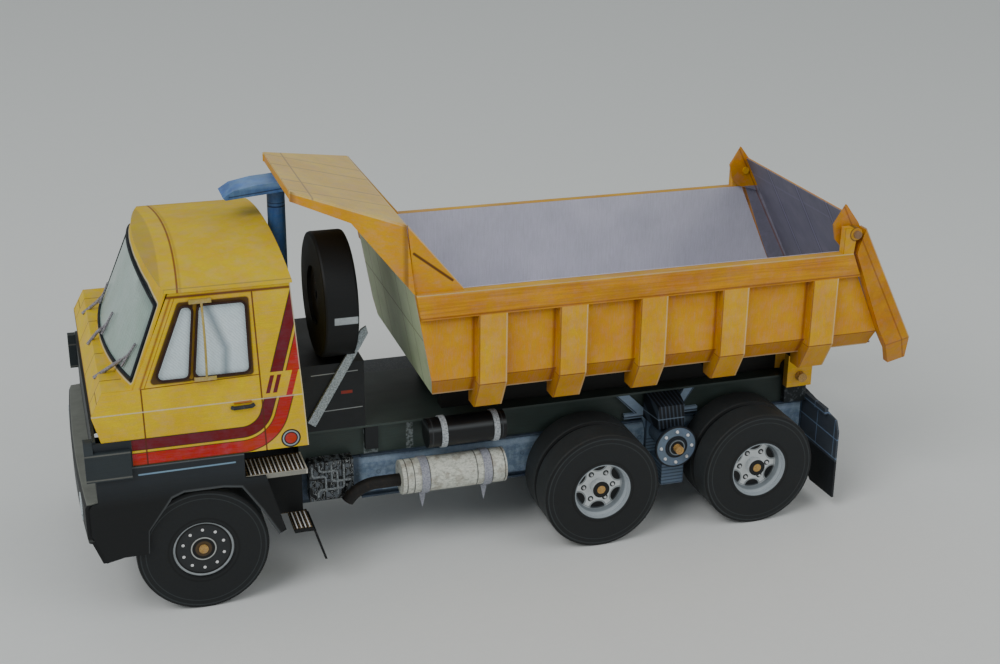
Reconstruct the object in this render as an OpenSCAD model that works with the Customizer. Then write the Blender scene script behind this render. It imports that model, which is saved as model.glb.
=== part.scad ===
// Three-axle dump truck, a card scale model with turning wheels on wooden axles,
// a tipping bed and a top-hung tailgate.
// The front of the truck points to -Y and its left side to +X.
// The origin lies on the floor, in the middle of the model's length and width.

/* [Overall] */
// From the front axle forward to the bumper's face
front_overhang = 29.4; // [29:0.2:31]
// From the front axle back to the tailgate's lowest edge
rear_reach = 204.6; // [204:0.2:206]
// Thickness of the card that panels are cut from
card = 0.6; // [0.4:0.1:0.8]

/* [Wheels] */
// Radius of every tyre
tyre_r = 16.9; // [16.5:0.1:17]
// Width of a front tyre
front_tyre_w = 10; // [9:0.5:10]
// Width of each rear twin tyre
rear_tyre_w = 8.5; // [8:0.1:8.5]
// Gap between the two tyres of a twin
twin_gap = 1; // [0.8:0.1:1.2]
// Outer face of the front wheels, from the middle
front_face_x = 38; // [37.5:0.1:38]
// Outer face of the rear wheels, from the middle
rear_face_x = 36.9; // [36.5:0.1:37.2]
// Radius of the opening in the front tyres
front_rim_r = 7.85; // [7.5:0.05:8]
// Radius of the opening in the rear tyres
rear_rim_r = 8.25; // [8:0.05:8.5]
// From the front axle to the first rear axle
wheelbase = 109.7; // [108:0.1:111]
// Between the two rear axles
rear_spacing = 47.8; // [46:0.1:49]
// Radius of the wooden dowels that are the axles
dowel_r = 1.2; // [1:0.05:1.4]
// Running clearance between a wheel and its dowel
running_gap = 0.05; // [0.03:0.01:0.08]

/* [Cab] */
// Half of the cab's width
cab_half = 39; // [38.5:0.1:39.5]
// Height of the cab's lower edge
cab_bottom_z = 43.4; // [42.5:0.1:44]
// Height of the sill under the windscreen
belt_z = 63.4; // [62.5:0.1:64]
// Height of the crease above which the cab's sides lean inwards
crease_z = 57.6; // [57:0.1:58]
// Height of the roof's side edges
eaves_z = 86.7; // [86:0.1:88]
// How far the cab's sides lean in at the roof
side_lean = 2.5; // [2:0.1:3]
// Rise of the roof's middle above its side edges, at the back
roof_rise_rear = 3.8; // [3.5:0.1:4.5]
// Rise of the roof's middle above its side edges, at the front
roof_rise_front = 2.6; // [2:0.1:3]
// How far the windscreen bows forward of its corners
screen_bow = 5.7; // [5:0.1:6]

/* [Bed] */
// Half of the bed's width over its side walls
bed_half = 34; // [33.5:0.1:34.5]
// How far rails and posts stand out from the walls
rail_out = 2.4; // [2:0.1:2.6]
// Height of the rails' top
rail_top_z = 79.7; // [79:0.1:80.5]
// Height of the rails
rail_h = 7; // [6.5:0.1:7.5]
// Height at which the walls bend inwards
bevel_z = 54.6; // [54:0.1:56]
// Underside of the bed's floor
floor_z = 49.7; // [49:0.1:50.5]
// Middle of each side post, from the front axle
post_at = [77.6, 99.9, 122.7, 146.6, 173.9];
// Width of a side post
post_w = 7.8; // [7:0.1:8.5]
// Highest tipping angle of the bed
tip_max = 50; // [40:55]

/* [Hidden] */
$fn = 96;

front_axle_y = (front_overhang - rear_reach) / 2;
middle_axle_y = wheelbase;
rear_axle_y = wheelbase + rear_spacing;
trunnion_y = wheelbase + rear_spacing / 2 + 1.1;
trunnion_z = 23.8;
trunnion_r = 6.3;
trunnion_x = [28.6, 29.4];
trunnion_dowel_x = 32;

// Frame: a box of card with a black subframe and deck on it
frame_half = 16;
frame_z = [14.8, 27.2];
frame_y = [-24, 181];
frame_nose_y = -28.1;
subframe_y = [29, 174.2];
flange_half = frame_half + 1;
flange_y = 46;
deck_z = 36.9;
deck_half = 18;

// Cab side outline, from the nose's bottom round to the back, as [y, z]
nose_bottom = [-22.9, 50.6];
nose_crease = [-24.7, 57.4];
nose_top = [-21.7, belt_z];
pillar_foot = [-14.3, belt_z];
brow = [-4.2, eaves_z];
roof_rear = [25.2, eaves_z];
cab_rear_foot = [27.9, cab_bottom_z];
skirt_front_y = -15.8;
lean = atan2(side_lean, eaves_z - crease_z);
roof_half = cab_half - side_lean;
screen_slope = (brow[0] - pillar_foot[0]) / (brow[1] - pillar_foot[1]);

// Bed's end lines, as [y, z]
front_wall_top = [57.2, rail_top_z];
front_wall_foot = [62.5, floor_z];
wall_rear_top = [181.6, rail_top_z];
wall_rear_bevel = [192.8, bevel_z];
wall_rear_foot = [192, floor_z];
floor_rear_y = 193.4;
bevel_in = 3;
pivot = [177, 37.4];
pivot_r = 1.4;
hinge = [182, 85.2];
hinge_r = 1.1;
hinge_boss_r = 1.8;
canopy_front = [28.9, 104.8];
canopy_front_half = 20.2;
canopy_rear = [55.3, 98.1];
canopy_fold = [42.9, 97.6];

// ---- Helpers ----
module from_front_axle() { translate([0, front_axle_y, 0]) children(); }
module both_sides() { children(); mirror([1, 0, 0]) children(); }
// Extrudes a [y, z] outline along X
module across(x0, x1) {
  translate([x0, 0, 0]) rotate([90, 0, 90]) linear_extrude(x1 - x0) children();
}
// Extrudes an [x, z] outline along Y
module along(y0, y1) {
  translate([0, y1, 0]) rotate([90, 0, 0]) linear_extrude(y1 - y0) children();
}
module block(x, y, z) {
  translate([x[0], y[0], z[0]]) cube([x[1] - x[0], y[1] - y[0], z[1] - z[0]]);
}
module rod(r, x0, x1, y, z) {
  translate([x0, y, z]) rotate([0, 90, 0]) cylinder(h = x1 - x0, r = r);
}
module rod_y(r, y0, y1, x, z) {
  translate([x, y1, z]) rotate([90, 0, 0]) cylinder(h = y1 - y0, r = r);
}
function lerp(a, b, t) = a + (b - a) * t;
function unit(v) = v / norm(v);
// Rounds the corners of a closed outline to radius r
function rounded(pts, r, n = 5) = [
  for (i = [0:len(pts) - 1])
    let (p = pts[i], a = unit(pts[(i + len(pts) - 1) % len(pts)] - p),
         b = unit(pts[(i + 1) % len(pts)] - p), half = acos(a * b) / 2, d = r / tan(half),
         c = p + unit(a + b) * (r / sin(half)), from = p + a * d - c, to = p + b * d - c)
      for (k = [0:n]) let (m = lerp(from, to, k / n)) c + unit(m) * r
];
// A closed sheet between two equal grids of points, front[row][column] and back[row][column]
module sheet(front, back) {
  rows = len(front);
  cols = len(front[0]);
  n = rows * cols;
  pts = concat([for (r = front) for (p = r) p], [for (r = back) for (p = r) p]);
  rim = concat([for (c = [0:cols - 2]) c], [for (r = [0:rows - 2]) r * cols + cols - 1],
    [for (c = [cols - 1:-1:1]) (rows - 1) * cols + c], [for (r = [rows - 1:-1:1]) r * cols]);
  m = len(rim);
  faces = concat(
    [for (r = [0:rows - 2]) for (c = [0:cols - 2]) let (i = r * cols + c)
      each [[i, i + cols, i + 1], [i + 1, i + cols, i + cols + 1]]],
    [for (r = [0:rows - 2]) for (c = [0:cols - 2]) let (i = n + r * cols + c)
      each [[i, i + 1, i + cols], [i + 1, i + cols + 1, i + cols]]],
    [for (k = [0:m - 1]) let (a = rim[k], b = rim[(k + 1) % m])
      each [[a, b, n + a], [b, n + b, n + a]]]);
  polyhedron(pts, faces);
}

// ---- Chassis ----
module frame_rails() {
  color("lightsteelblue") from_front_axle() difference() {
    union() {
      block([-frame_half, frame_half], frame_y, frame_z);
      block([-frame_half, frame_half], [frame_nose_y, frame_y[0]], [25.2, frame_z[1]]);
      for (z = frame_z)
        block([-flange_half, flange_half], [flange_y, frame_y[1]], [z - card / 2, z + card / 2]);
    }
    block([card - frame_half, frame_half - card], [frame_y[0] + card, frame_y[1] - card],
      [frame_z[0] + card, frame_z[1] - card]);
    for (y = [0, middle_axle_y, rear_axle_y]) rod(dowel_r, -30, 30, y, tyre_r);
    rod(dowel_r, -30, 30, trunnion_y, trunnion_z);
  }
}
module subframe() {
  color("#202224") from_front_axle() union() {
    difference() {
      block([-frame_half, frame_half], subframe_y, [frame_z[1] + card / 2, deck_z - card]);
      block([card - frame_half, frame_half - card], [subframe_y[0] + card, subframe_y[1] - card],
        [frame_z[1] + card * 3 / 2, deck_z - card * 2]);
    }
    block([-deck_half, deck_half], [subframe_y[0], 172], [deck_z - card, deck_z]);
  }
}
module axle_dowel(y, face_x) { rod(dowel_r, -face_x, face_x, y, tyre_r); }
module front_dowel() { color("burlywood") from_front_axle() axle_dowel(0, front_face_x - 0.4); }
module rear_dowels() {
  color("burlywood") from_front_axle() {
    for (y = [middle_axle_y, rear_axle_y]) axle_dowel(y, rear_face_x - 1.2);
    rod(dowel_r, -trunnion_dowel_x, trunnion_dowel_x, trunnion_y, trunnion_z);
  }
}
module axle_tube(y, x_start, x_end) {
  both_sides() difference() {
    rod(3, x_start, x_end, y, tyre_r);
    rod(dowel_r, frame_half - 1, x_end + 1, y, tyre_r);
  }
}
module axle_tubes() {
  color("slategray") from_front_axle() {
    axle_tube(0, frame_half, front_face_x - front_tyre_w - 0.6);
    for (y = [middle_axle_y, rear_axle_y])
      axle_tube(y, flange_half, rear_face_x - 2 * rear_tyre_w - twin_gap - 0.6);
  }
}
bracket_t = 1.2;
module trunnion_discs() {
  color("lightsteelblue") from_front_axle() both_sides() difference() {
    union() {
      rod(trunnion_r, trunnion_x[0], trunnion_x[1], trunnion_y, trunnion_z);
      rod(3.4, frame_half + bracket_t, trunnion_x[0], trunnion_y, trunnion_z);
      rod(2.4, trunnion_x[1], trunnion_x[1] + card, trunnion_y, trunnion_z);
    }
    rod(dowel_r, frame_half - 1, 31, trunnion_y, trunnion_z);
  }
}
bracket_outline = [[-14.3, 36.2], [-10.3, 36.2], [-3.8, 29.8], [3.7, 29.8], [7.3, 36.2], [10.5, 36.2],
  [6.3, 29.8], [11.7, 29.8], [11.7, 28.4], [5.7, 28.4], [4.7, 24], [4.7, 15.4], [-4.3, 15.4], [-4.3, 24],
  [-5.7, 28.4], [-11.3, 28.4], [-11.3, 29.8], [-7.9, 29.8]];
module suspension_brackets() {
  color("slategray") from_front_axle() both_sides() translate([0, trunnion_y, 0]) {
    difference() {
      across(frame_half, frame_half + bracket_t) polygon(bracket_outline);
      rod(dowel_r, frame_half - 1, frame_half + 2, 0, trunnion_z);
      block([frame_half - 1, flange_half], [-15, 15], [frame_z[1] - card / 2, frame_z[1] + card / 2]);
    }
    block([frame_half + bracket_t, 26], [-2.6, 4.2], [10.4, 17]);
  }
}
module spring_boxes() {
  color("#303236") from_front_axle() both_sides() translate([0, trunnion_y, 0]) hull() {
    block([frame_half + bracket_t, frame_half + bracket_t + 0.4], [-5.4, 5], [28.6, 36.2]);
    block([25.2, 25.6], [-4.3, 3.7], [28, 35]);
  }
}
stringer_x = [9, 13];
stringer_gap = 0.4;
module rear_crossmember() {
  color("#26282b") from_front_axle() difference() {
    union() {
      block([-deck_half, deck_half], [subframe_y[1], 181.2], [frame_z[1] + card, 34.9]);
      rod(2.6, stringer_gap - stringer_x[0], stringer_x[0] - stringer_gap, pivot[0], pivot[1]);
      both_sides() rod(2.6, stringer_x[1] + stringer_gap, deck_half, pivot[0], pivot[1]);
    }
    rod(pivot_r, -deck_half - 1, deck_half + 1, pivot[0], pivot[1]);
  }
}
module bed_pivot_pin() {
  color("burlywood") from_front_axle() rod(pivot_r, -23, 23, pivot[0], pivot[1]);
}

// ---- Cab ----
// Half of the cab's width at height z, over its side panels
function side_x(z) = cab_half - max(0, z - crease_z) * tan(lean);
// Leans what stands above the crease inwards, with the cab's left side
module lean_in() {
  translate([cab_half, 0, crease_z]) rotate([0, -lean, 0]) translate([-cab_half, 0, -crease_z]) children();
}
crease_rear = [lerp(cab_rear_foot[0], roof_rear[0], (crease_z - cab_bottom_z) / (eaves_z - cab_bottom_z)),
  crease_z];
side_lower = [nose_bottom, nose_crease, [nose_crease[0], crease_z], crease_rear, cab_rear_foot,
  [skirt_front_y, cab_bottom_z], [skirt_front_y, nose_bottom[1]]];
side_upper = [[nose_crease[0], crease_z], nose_top, pillar_foot, brow, roof_rear, crease_rear];
quarter_light = rounded([[-9.1, 65.1], [-0.8, 65.1], [1.3, 83.3], [-1.6, 83.3]], 1.3);
door_light = rounded([[0.4, 65.1], [14.1, 65.1], [14, 83.3], [2.5, 83.3]], 1.6);
module cab_side() {
  color("gold") from_front_axle() {
    across(cab_half - card, cab_half) polygon(side_lower);
    lean_in() across(cab_half - card, cab_half) difference() {
      polygon(side_upper);
      polygon(quarter_light);
      polygon(door_light);
    }
  }
}
module cab_left_side() { cab_side(); }
module cab_right_side() { mirror([1, 0, 0]) cab_side(); }
module side_windows() {
  color("lightcyan") from_front_axle() both_sides() lean_in() across(cab_half - card, cab_half - 0.12) {
    polygon(quarter_light);
    polygon(door_light);
  }
}
module cab_nose() {
  inner = cab_half - card;
  top_inner = side_x(belt_z) - card;
  color("gold") from_front_axle() {
    across(-inner, inner) polygon([nose_bottom, nose_crease, nose_crease + [card, 0],
      nose_bottom + [card, 0]]);
    across(-top_inner, top_inner) polygon([nose_crease, nose_top, nose_top + [0.3, -card],
      nose_crease + [card, 0]]);
    translate([0, 0, belt_z - card]) linear_extrude(card) polygon(concat(
      [[-top_inner, nose_top[0]], [top_inner, nose_top[0]]],
      [for (i = [12:-1:-12]) let (x = top_inner * i / 12) [x, screen_y(x, belt_z) + card]]));
  }
}
function screen_y(x, z) = pillar_foot[0] + (z - belt_z) * screen_slope
  - screen_bow * (1 - pow(x / cab_half, 2));
function roof_z(x, t) = eaves_z
  + lerp(roof_rise_front, roof_rise_rear, t) * (1 - pow(x / roof_half, 2));
screen_cols = 16;
function spread(half) = [for (i = [0:screen_cols]) half * (2 * i / screen_cols - 1)];
module screen_sheet(t, inset) {
  foot = [for (x = spread(side_x(belt_z) - card)) [x, screen_y(x, belt_z) + inset, belt_z]];
  top = [for (x = spread(roof_half - card)) let (z = roof_z(x, 0)) [x, screen_y(x, z) + inset, z]];
  front = [foot, top];
  back = [for (row = front) [for (p = row) p + [0, t, 0]]];
  sheet(front, back);
}
screen_corner = [34.2, 82.9];
screen_outline = rounded(concat([[-36, 65.2], [36, 65.2], screen_corner],
  [for (i = [3:-1:-3]) let (x = 10 * i) [x, roof_z(x, 0) - 2.6 - pow(x / screen_corner[0], 2)]],
  [[-screen_corner[0], screen_corner[1]]]), 1, 3);
module windscreen_frame() {
  color("gold") from_front_axle() difference() {
    screen_sheet(card, 0);
    along(-40, 10) polygon(screen_outline);
  }
}
module windscreen() {
  color("honeydew") from_front_axle() intersection() {
    screen_sheet(card - 0.12, 0.12);
    along(-40, 10) polygon(screen_outline);
  }
}
roof_end_y = roof_rear[0] + 0.5;
eave_half = roof_half + 0.4;
module cab_roof() {
  top = [for (t = [0, 1 / 3, 2 / 3, 1]) [for (x = spread(eave_half))
    let (y0 = screen_y(x, roof_z(x, 0)) - 0.2) [x, lerp(y0, roof_end_y, t), roof_z(x, t) + card]]];
  under = [for (row = top) [for (p = row) p - [0, 0, card]]];
  color("gold") from_front_axle() sheet(top, under);
}
module cab_back() {
  inner = cab_half - card;
  top_inner = roof_half - card;
  slant = atan2(cab_rear_foot[0] - roof_rear[0], eaves_z - cab_bottom_z);
  h = norm(cab_rear_foot - roof_rear);
  color("gold") from_front_axle() translate([0, cab_rear_foot[0], cab_bottom_z]) rotate([slant, 0, 0])
    rotate([90, 0, 0]) linear_extrude(card) polygon(concat(
      [[-inner, crease_z - cab_bottom_z], [-inner, 0], [inner, 0], [inner, crease_z - cab_bottom_z]],
      [for (x = [for (i = [12:-1:-12]) top_inner * i / 12])
        [x, h + roof_rise_rear * (1 - pow(x / roof_half, 2)) - 0.1]]));
}
module cab_floor() {
  inner = cab_half - card;
  color("#8a7a3a") from_front_axle()
    block([-inner, inner], [-21.5, cab_rear_foot[0] - card - 0.1], [cab_bottom_z, cab_bottom_z + card]);
}
module mirror_arms() {
  bow_r = 25.6;
  bow_depth = 2;
  color("khaki") from_front_axle() both_sides() lean_in() {
    for (z = [64.7, 84.3]) block([cab_half, cab_half + 1.1], [0.4, 5.8], [z - 0.5, z + 0.5]);
    translate([cab_half + 0.7, 3.4, 74.5]) rotate([90, 0, 0]) intersection() {
      translate([bow_depth - bow_r, 0, 0]) rotate_extrude() translate([bow_r, 0]) circle(0.3, $fn = 16);
      translate([-bow_depth, -9.6, -1]) cube([10, 19.2, 2]);
    }
  }
}
// Bumper and valance: one strip folded along its length and bowed forward in the middle,
// with its front and back profile as [distance behind the face, z] and, above the ledge,
// a straight panel as [0, z, y]
bumper_half = cab_half - 0.4;
bumper_bow = 1.2;
nose_panel_y = [-25, -24.2];
bumper_front = [[3.2, 17.4], [1, 23.3], [0.2, 23.6], [0, 24.8], [0, 33], [0.6, 34.4],
  [0, 34.6, nose_panel_y[0]], [0, 51, nose_panel_y[0]]];
bumper_back = [[4, 17.4], [1.9, 23.8], [1.2, 24.2], [1, 25], [1, 32.8], [1.4, 33.6],
  [0, 33.8, nose_panel_y[1]], [0, 51, nose_panel_y[1]]];
function bumper_y(x) = bumper_bow * pow(x / bumper_half, 2) - front_overhang;
function bumper_grid(profile) = [for (p = profile) [for (x = spread(bumper_half))
  [x, p[2] == undef ? bumper_y(x) + p[0] : p[2], p[1]]]];
module bumper() {
  color("#1e2022") from_front_axle() {
    sheet(bumper_grid(bumper_front), bumper_grid(bumper_back));
    both_sides() {
      along(-27.2, nose_panel_y[0] - 0.05) polygon([[36, 40.8], [cab_half + 1.2, 40.8],
        [cab_half + 1.2, 48.4], [cab_half - 0.6, 50.8], [36, 50.8]]);
      block([cab_half + 0.2, cab_half + 1.2], [-26, -16.2], [40.8, 48.4]);
    }
  }
}
arch_outline = [[-26.4, 24], [-27.2, 25.4], [-27.2, 33], [-26.4, 34.2], [-25, 34.4],
  [-25, nose_bottom[1]], [skirt_front_y, nose_bottom[1]], [skirt_front_y, cab_bottom_z],
  [11.4, cab_bottom_z], [11.4, 36.4], [16.6, 36.4], [21.2, 20.2], [19.2, 19.2], [15.1, 26.7],
  [10.4, 33.9], [6, 34.6], [-4, 34.6], [-7, 33.4], [-13.2, 25], [-13.6, 18.6], [-19.6, 18.6],
  [-24.2, 17.6], [-26.2, 23.4]];
module wheel_arches() {
  color("#222427") from_front_axle() both_sides() {
    across(bumper_half, cab_half + 0.2) polygon(arch_outline);
  }
}
module steps() {
  color("#24211f") from_front_axle() both_sides() {
    block([28, bumper_half], [11.6, 27.4], [35.2, 36.4]);
    block([28, 29], [18.6, 27.4], [19.4, 35.2]);
    block([28, bumper_half], [23.4, 28.4], [18.4, 19.4]);
  }
}
module front_mudflaps() {
  color("#17181a") from_front_axle() both_sides()
    across(27.5, 38) polygon([[28.4, 18.4], [29, 18.4], [31.8, 9.2], [31.2, 9.2]]);
}

// ---- Behind the cab ----
snorkel_x = -10;
snorkel_foot_z = 56;
module snorkel_pipe() {
  color("royalblue") from_front_axle() translate([snorkel_x, 30.1, snorkel_foot_z])
    cylinder(h = 97.2 - snorkel_foot_z, r = 2.45);
}
module snorkel_head() {
  color("royalblue") from_front_axle() across(snorkel_x - 5, snorkel_x + 5)
    polygon([[15.3, 96.9], [16, 96.2], [32.6, 97.7], [32.6, 99.4], [30.8, 100.3], [24, 99.8],
      [18.2, 98.7]]);
}
spare_w = 9;
spare_x = 9.7;
spare_y = [35.6, 35.6 + spare_w];
spare_z = snorkel_foot_z + tyre_r + 0.05;
module spare_tyre() {
  color("#1c1d1f") from_front_axle() translate([spare_x, spare_y[1], spare_z]) rotate([90, 0, 0])
    tyre(spare_w, front_rim_r);
}
module spare_rim() {
  color("#3a3b3d") from_front_axle() translate([spare_x, spare_y[1], spare_z]) rotate([90, 0, 0])
    difference() {
    translate([0, 0, 1]) cylinder(h = spare_w - 2, r = front_rim_r);
    translate([0, 0, 2]) difference() {
      cylinder(h = spare_w - 4, r = front_rim_r - 1);
      cylinder(h = spare_w - 4, r = 3);
    }
    translate([0, 0, -1]) cylinder(h = spare_w + 2, r = 1.2);
  }
}
spare_box_y = [29, 47.2];
module spare_box() {
  color("#1f2124") from_front_axle() {
    difference() {
      block([-deck_half, deck_half], spare_box_y, [deck_z, snorkel_foot_z]);
      block([card - deck_half, deck_half - card], [spare_box_y[0] + card, spare_box_y[1] - card],
        [deck_z + card, snorkel_foot_z - card]);
    }
    both_sides() block([frame_half, deck_half - 0.4], [spare_box_y[1], 50.8], [29.4, deck_z - card]);
  }
}
module spare_struts() {
  color("gray") from_front_axle() difference() {
    both_sides() across(deck_half, deck_half + 0.8)
      polygon([[31.4, 40], [33.4, 38.6], [48.4, 64], [47.9, 66], [46.5, 65.2]]);
    rod_y(tyre_r + 0.1, spare_y[0] - 0.1, spare_y[1] + 0.1, spare_x, spare_z);
  }
}
module valve_panel() {
  color("#25262b") from_front_axle() block([frame_half, 20], [31, 43.2], [17, 28.4]);
}
tank_x = 22.6;
air_tank_z = 34.6;
air_tank_r = 4.1;
air_strap_y = [66.5, 81.3];
silencer_x = 22.6;
silencer_z = 22.3;
silencer_y = [55.4, 85];
silencer_r = 4.8;
silencer_band_y = [60.6, 78.3];
silencer_band_w = 2.2;
strap_w = 1.6;
module air_tank() {
  color("#18191b") from_front_axle() rod_y(air_tank_r, 62.9, 84.9, tank_x, air_tank_z);
}
module silencer() {
  color("lightgray") from_front_axle()
    rod_y(silencer_r, silencer_y[0], silencer_y[1], silencer_x, silencer_z);
}
// A strap round a tank, with its bracket on the frame
module band(r, y, w, x, z) {
  difference() {
    union() {
      rod_y(r + 0.35, y, y + w, x, z);
      block([frame_half, x - r / 2], [y, y + w], [z - 2, z + 0.5]);
    }
    rod_y(r, y - 1, y + w + 1, x, z);
  }
}
// A pointed tail of card hanging from a strap at y, w wide, down to z
module tail(y, w, top, tip) {
  across(silencer_x - 0.3, silencer_x + 0.3) polygon([[y, top], [y + w, top], [y + w / 2, tip]]);
}
module tank_straps() {
  color("silver") from_front_axle() {
    for (y = air_strap_y) band(air_tank_r, y, strap_w, tank_x, air_tank_z);
    for (y = silencer_band_y) {
      band(silencer_r, y, silencer_band_w, silencer_x, silencer_z);
      tail(y, silencer_band_w, silencer_z - silencer_r - 0.1, 12.2);
    }
  }
}
pipe_r = 1.75;
pipe_bend_r = 10;
pipe_bend_y = 49;
module exhaust_pipe() {
  color("#1d1c1b") from_front_axle() {
    rod_y(pipe_r, pipe_bend_y, silencer_y[0], silencer_x, silencer_z - 0.7);
    translate([silencer_x, pipe_bend_y, silencer_z - 0.7 - pipe_bend_r])
      rotate([0, 0, 180]) rotate([0, -90, 0]) rotate_extrude(angle = 56)
        translate([pipe_bend_r, 0]) circle(pipe_r, $fn = 48);
  }
}
module fuel_tank() {
  color("#4a4d52") from_front_axle() difference() {
    block([-29.5, -flange_half], [52, 86], [17.6, 36]);
    block([-29.5 + card, -flange_half - card], [52 + card, 86 - card], [17.6 + card, 36 - card]);
  }
}
module rear_mudflaps() {
  color("#1b1d21") from_front_axle() {
    both_sides() along(182.4, 183)
      polygon([[12.4, 30.6], [34.4, 28], [36, 25], [36.2, 4], [23, 3.4], [13, 12]]);
    block([-30, 30], [181.2, 182.4], [28, 30]);
  }
}

// ---- Bed ----
inner_half = bed_half - card;
function front_wall_y(z) = lerp(front_wall_foot[0], front_wall_top[0],
  (z - front_wall_foot[1]) / (front_wall_top[1] - front_wall_foot[1]));
module bed_floor() {
  half = bed_half - bevel_in - card;
  color("thistle") from_front_axle()
    block([-half, half], [front_wall_foot[0] + card, floor_rear_y], [floor_z, floor_z + card]);
}
module bed_walls() {
  foot = bed_half - bevel_in;
  foot_y = [front_wall_foot[0], wall_rear_foot[0]];
  bend_y = [front_wall_y(bevel_z), wall_rear_bevel[0]];
  color("orange") from_front_axle() both_sides() {
    across(inner_half, bed_half) polygon([[front_wall_y(bevel_z), bevel_z], front_wall_top,
      wall_rear_top, wall_rear_bevel]);
    sheet([for (p = [[foot, floor_z, foot_y], [bed_half, bevel_z, bend_y]])
            [[p[0], p[2][0], p[1]], [p[0], p[2][1], p[1]]]],
          [for (p = [[foot - card, floor_z + card, foot_y], [inner_half, bevel_z + 0.3, bend_y]])
            [[p[0], p[2][0], p[1]], [p[0], p[2][1], p[1]]]]);
  }
}
function canopy_under(y) = lerp(canopy_front[1], canopy_rear[1],
  (y - canopy_front[0]) / (canopy_rear[0] - canopy_front[0])) - card;
module bed_front_wall() {
  half = inner_half;
  top_y = front_wall_y(canopy_rear[1] - card);
  color("khaki") from_front_axle() intersection() {
    across(-half, half) polygon([front_wall_foot, [top_y, canopy_under(top_y)],
      [top_y + card, canopy_under(top_y + card)], front_wall_foot + [card, 0]]);
    along(40, 70) polygon([[bevel_in - bed_half + card, floor_z], [bed_half - bevel_in - card, floor_z],
      [half, bevel_z], [half, 100], [-half, 100], [-half, bevel_z]]);
  }
}
module bed_canopy() {
  rear_half = bed_half + 1;
  run = canopy_rear[0] - canopy_front[0];
  turn = atan2(rear_half - canopy_front_half, run);
  stretch = 1 / cos(turn);
  color("khaki") from_front_axle() {
    sheet([[for (s = [-1, 1]) [s * canopy_front_half, canopy_front[0], canopy_front[1]]],
           [for (s = [-1, 1]) [s * rear_half, canopy_rear[0], canopy_rear[1]]]],
          [[for (s = [-1, 1]) [s * canopy_front_half, canopy_front[0], canopy_front[1] - card]],
           [for (s = [-1, 1]) [s * rear_half, canopy_rear[0], canopy_rear[1] - card]]]);
    both_sides() translate([canopy_front_half - card, canopy_front[0], 0]) rotate([0, 0, -turn])
      across(0, card) polygon([[0, canopy_front[1] - 0.1], [0, canopy_front[1] - 2.6],
        [(canopy_fold[0] - canopy_front[0]) * stretch, canopy_fold[1]],
        [(front_wall_top[0] - canopy_front[0]) * stretch, rail_top_z],
        [run * stretch, canopy_rear[1] - 0.1]]);
    both_sides() across(bed_half, bed_half + 1)
      polygon([[55.5, canopy_rear[1]], front_wall_top, [70.4, rail_top_z]]);
    block([-canopy_front_half, canopy_front_half], [canopy_front[0], canopy_front[0] + card],
      [canopy_front[1] - 2.6, canopy_front[1] - 0.1]);
  }
}
module bed_rails() {
  color("orange") from_front_axle() both_sides()
    across(bed_half, bed_half + rail_out) polygon([[front_wall_y(rail_top_z - rail_h), rail_top_z - rail_h],
      front_wall_top, wall_rear_top, [wall_rear_top[0] + 2.9, rail_top_z - rail_h]]);
}
// A post's section as [x, z]: down the wall, in under the bevel and to the floor
post_foot_z = 45;
post_crease_z = 53.2;
post_section = [[bed_half, rail_top_z - rail_h], [bed_half + rail_out, rail_top_z - rail_h],
  [bed_half + rail_out, post_crease_z], [31.8, post_foot_z], [27, post_foot_z], [27, floor_z],
  [bed_half - bevel_in, floor_z], [bed_half, bevel_z]];
module bed_posts() {
  color("gold") from_front_axle() both_sides() for (y = post_at)
    along(y - post_w / 2, y + post_w / 2) polygon(post_section);
  color("gold") from_front_axle() both_sides() block([13.2, 16], [85.5, 93], [45.3, floor_z]);
}
module bed_stringers() {
  ear = [pivot[0] - 4, pivot[0] + 4];
  bottom_z = deck_z + 0.1;
  ramp = pivot[0] + 2.2;
  front = 70;
  rear = 187;
  color("#2a2620") from_front_axle() {
    for (y = post_at) block([-27, 27], [y - 2, y + 2], [post_foot_z, floor_z]);
    both_sides() difference() {
      union() {
        across(stringer_x[0], stringer_x[1]) polygon([[front, bottom_z], [ramp, bottom_z],
          [rear, bottom_z + (rear - ramp) * tan(tip_max)], [rear, floor_z], [front, floor_z]]);
        block([deck_half + 0.6, deck_half + 3], ear, [pivot[1] - 3.4, post_foot_z]);
      }
      rod(pivot_r + running_gap, 0, deck_half + 4, pivot[0], pivot[1]);
    }
  }
}

// ---- Tailgate ----
ear_x = [inner_half - 1.2, inner_half - 0.4];
beam_x = bed_half + rail_out;
module tailgate_brackets() {
  color("orange") from_front_axle() both_sides() {
    across(bed_half - 0.2, beam_x) {
      polygon([[hinge[0] - 3.4, rail_top_z], [hinge[0] - 0.4, rail_top_z], hinge + [0, -hinge_boss_r],
        hinge + [0, hinge_boss_r], hinge + [-3.4, hinge_boss_r]]);
      translate(hinge) circle(hinge_boss_r);
    }
    rod(hinge_r, ear_x[0] - 0.4, beam_x + 1, hinge[0], hinge[1]);
  }
}
// The panel's inner face, and the beams' outer edge behind it, as [y, z]
panel_top = [182.1, 89];
panel_foot = [201.2, 50.8];
panel_normal = unit([panel_top[1] - panel_foot[1], panel_foot[0] - panel_top[0]]);
module tailgate_panel() {
  color("thistle") from_front_axle() across(-ear_x[0], ear_x[0])
    polygon([panel_top, panel_foot, panel_foot + panel_normal * card, panel_top + panel_normal * card]);
}
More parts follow.
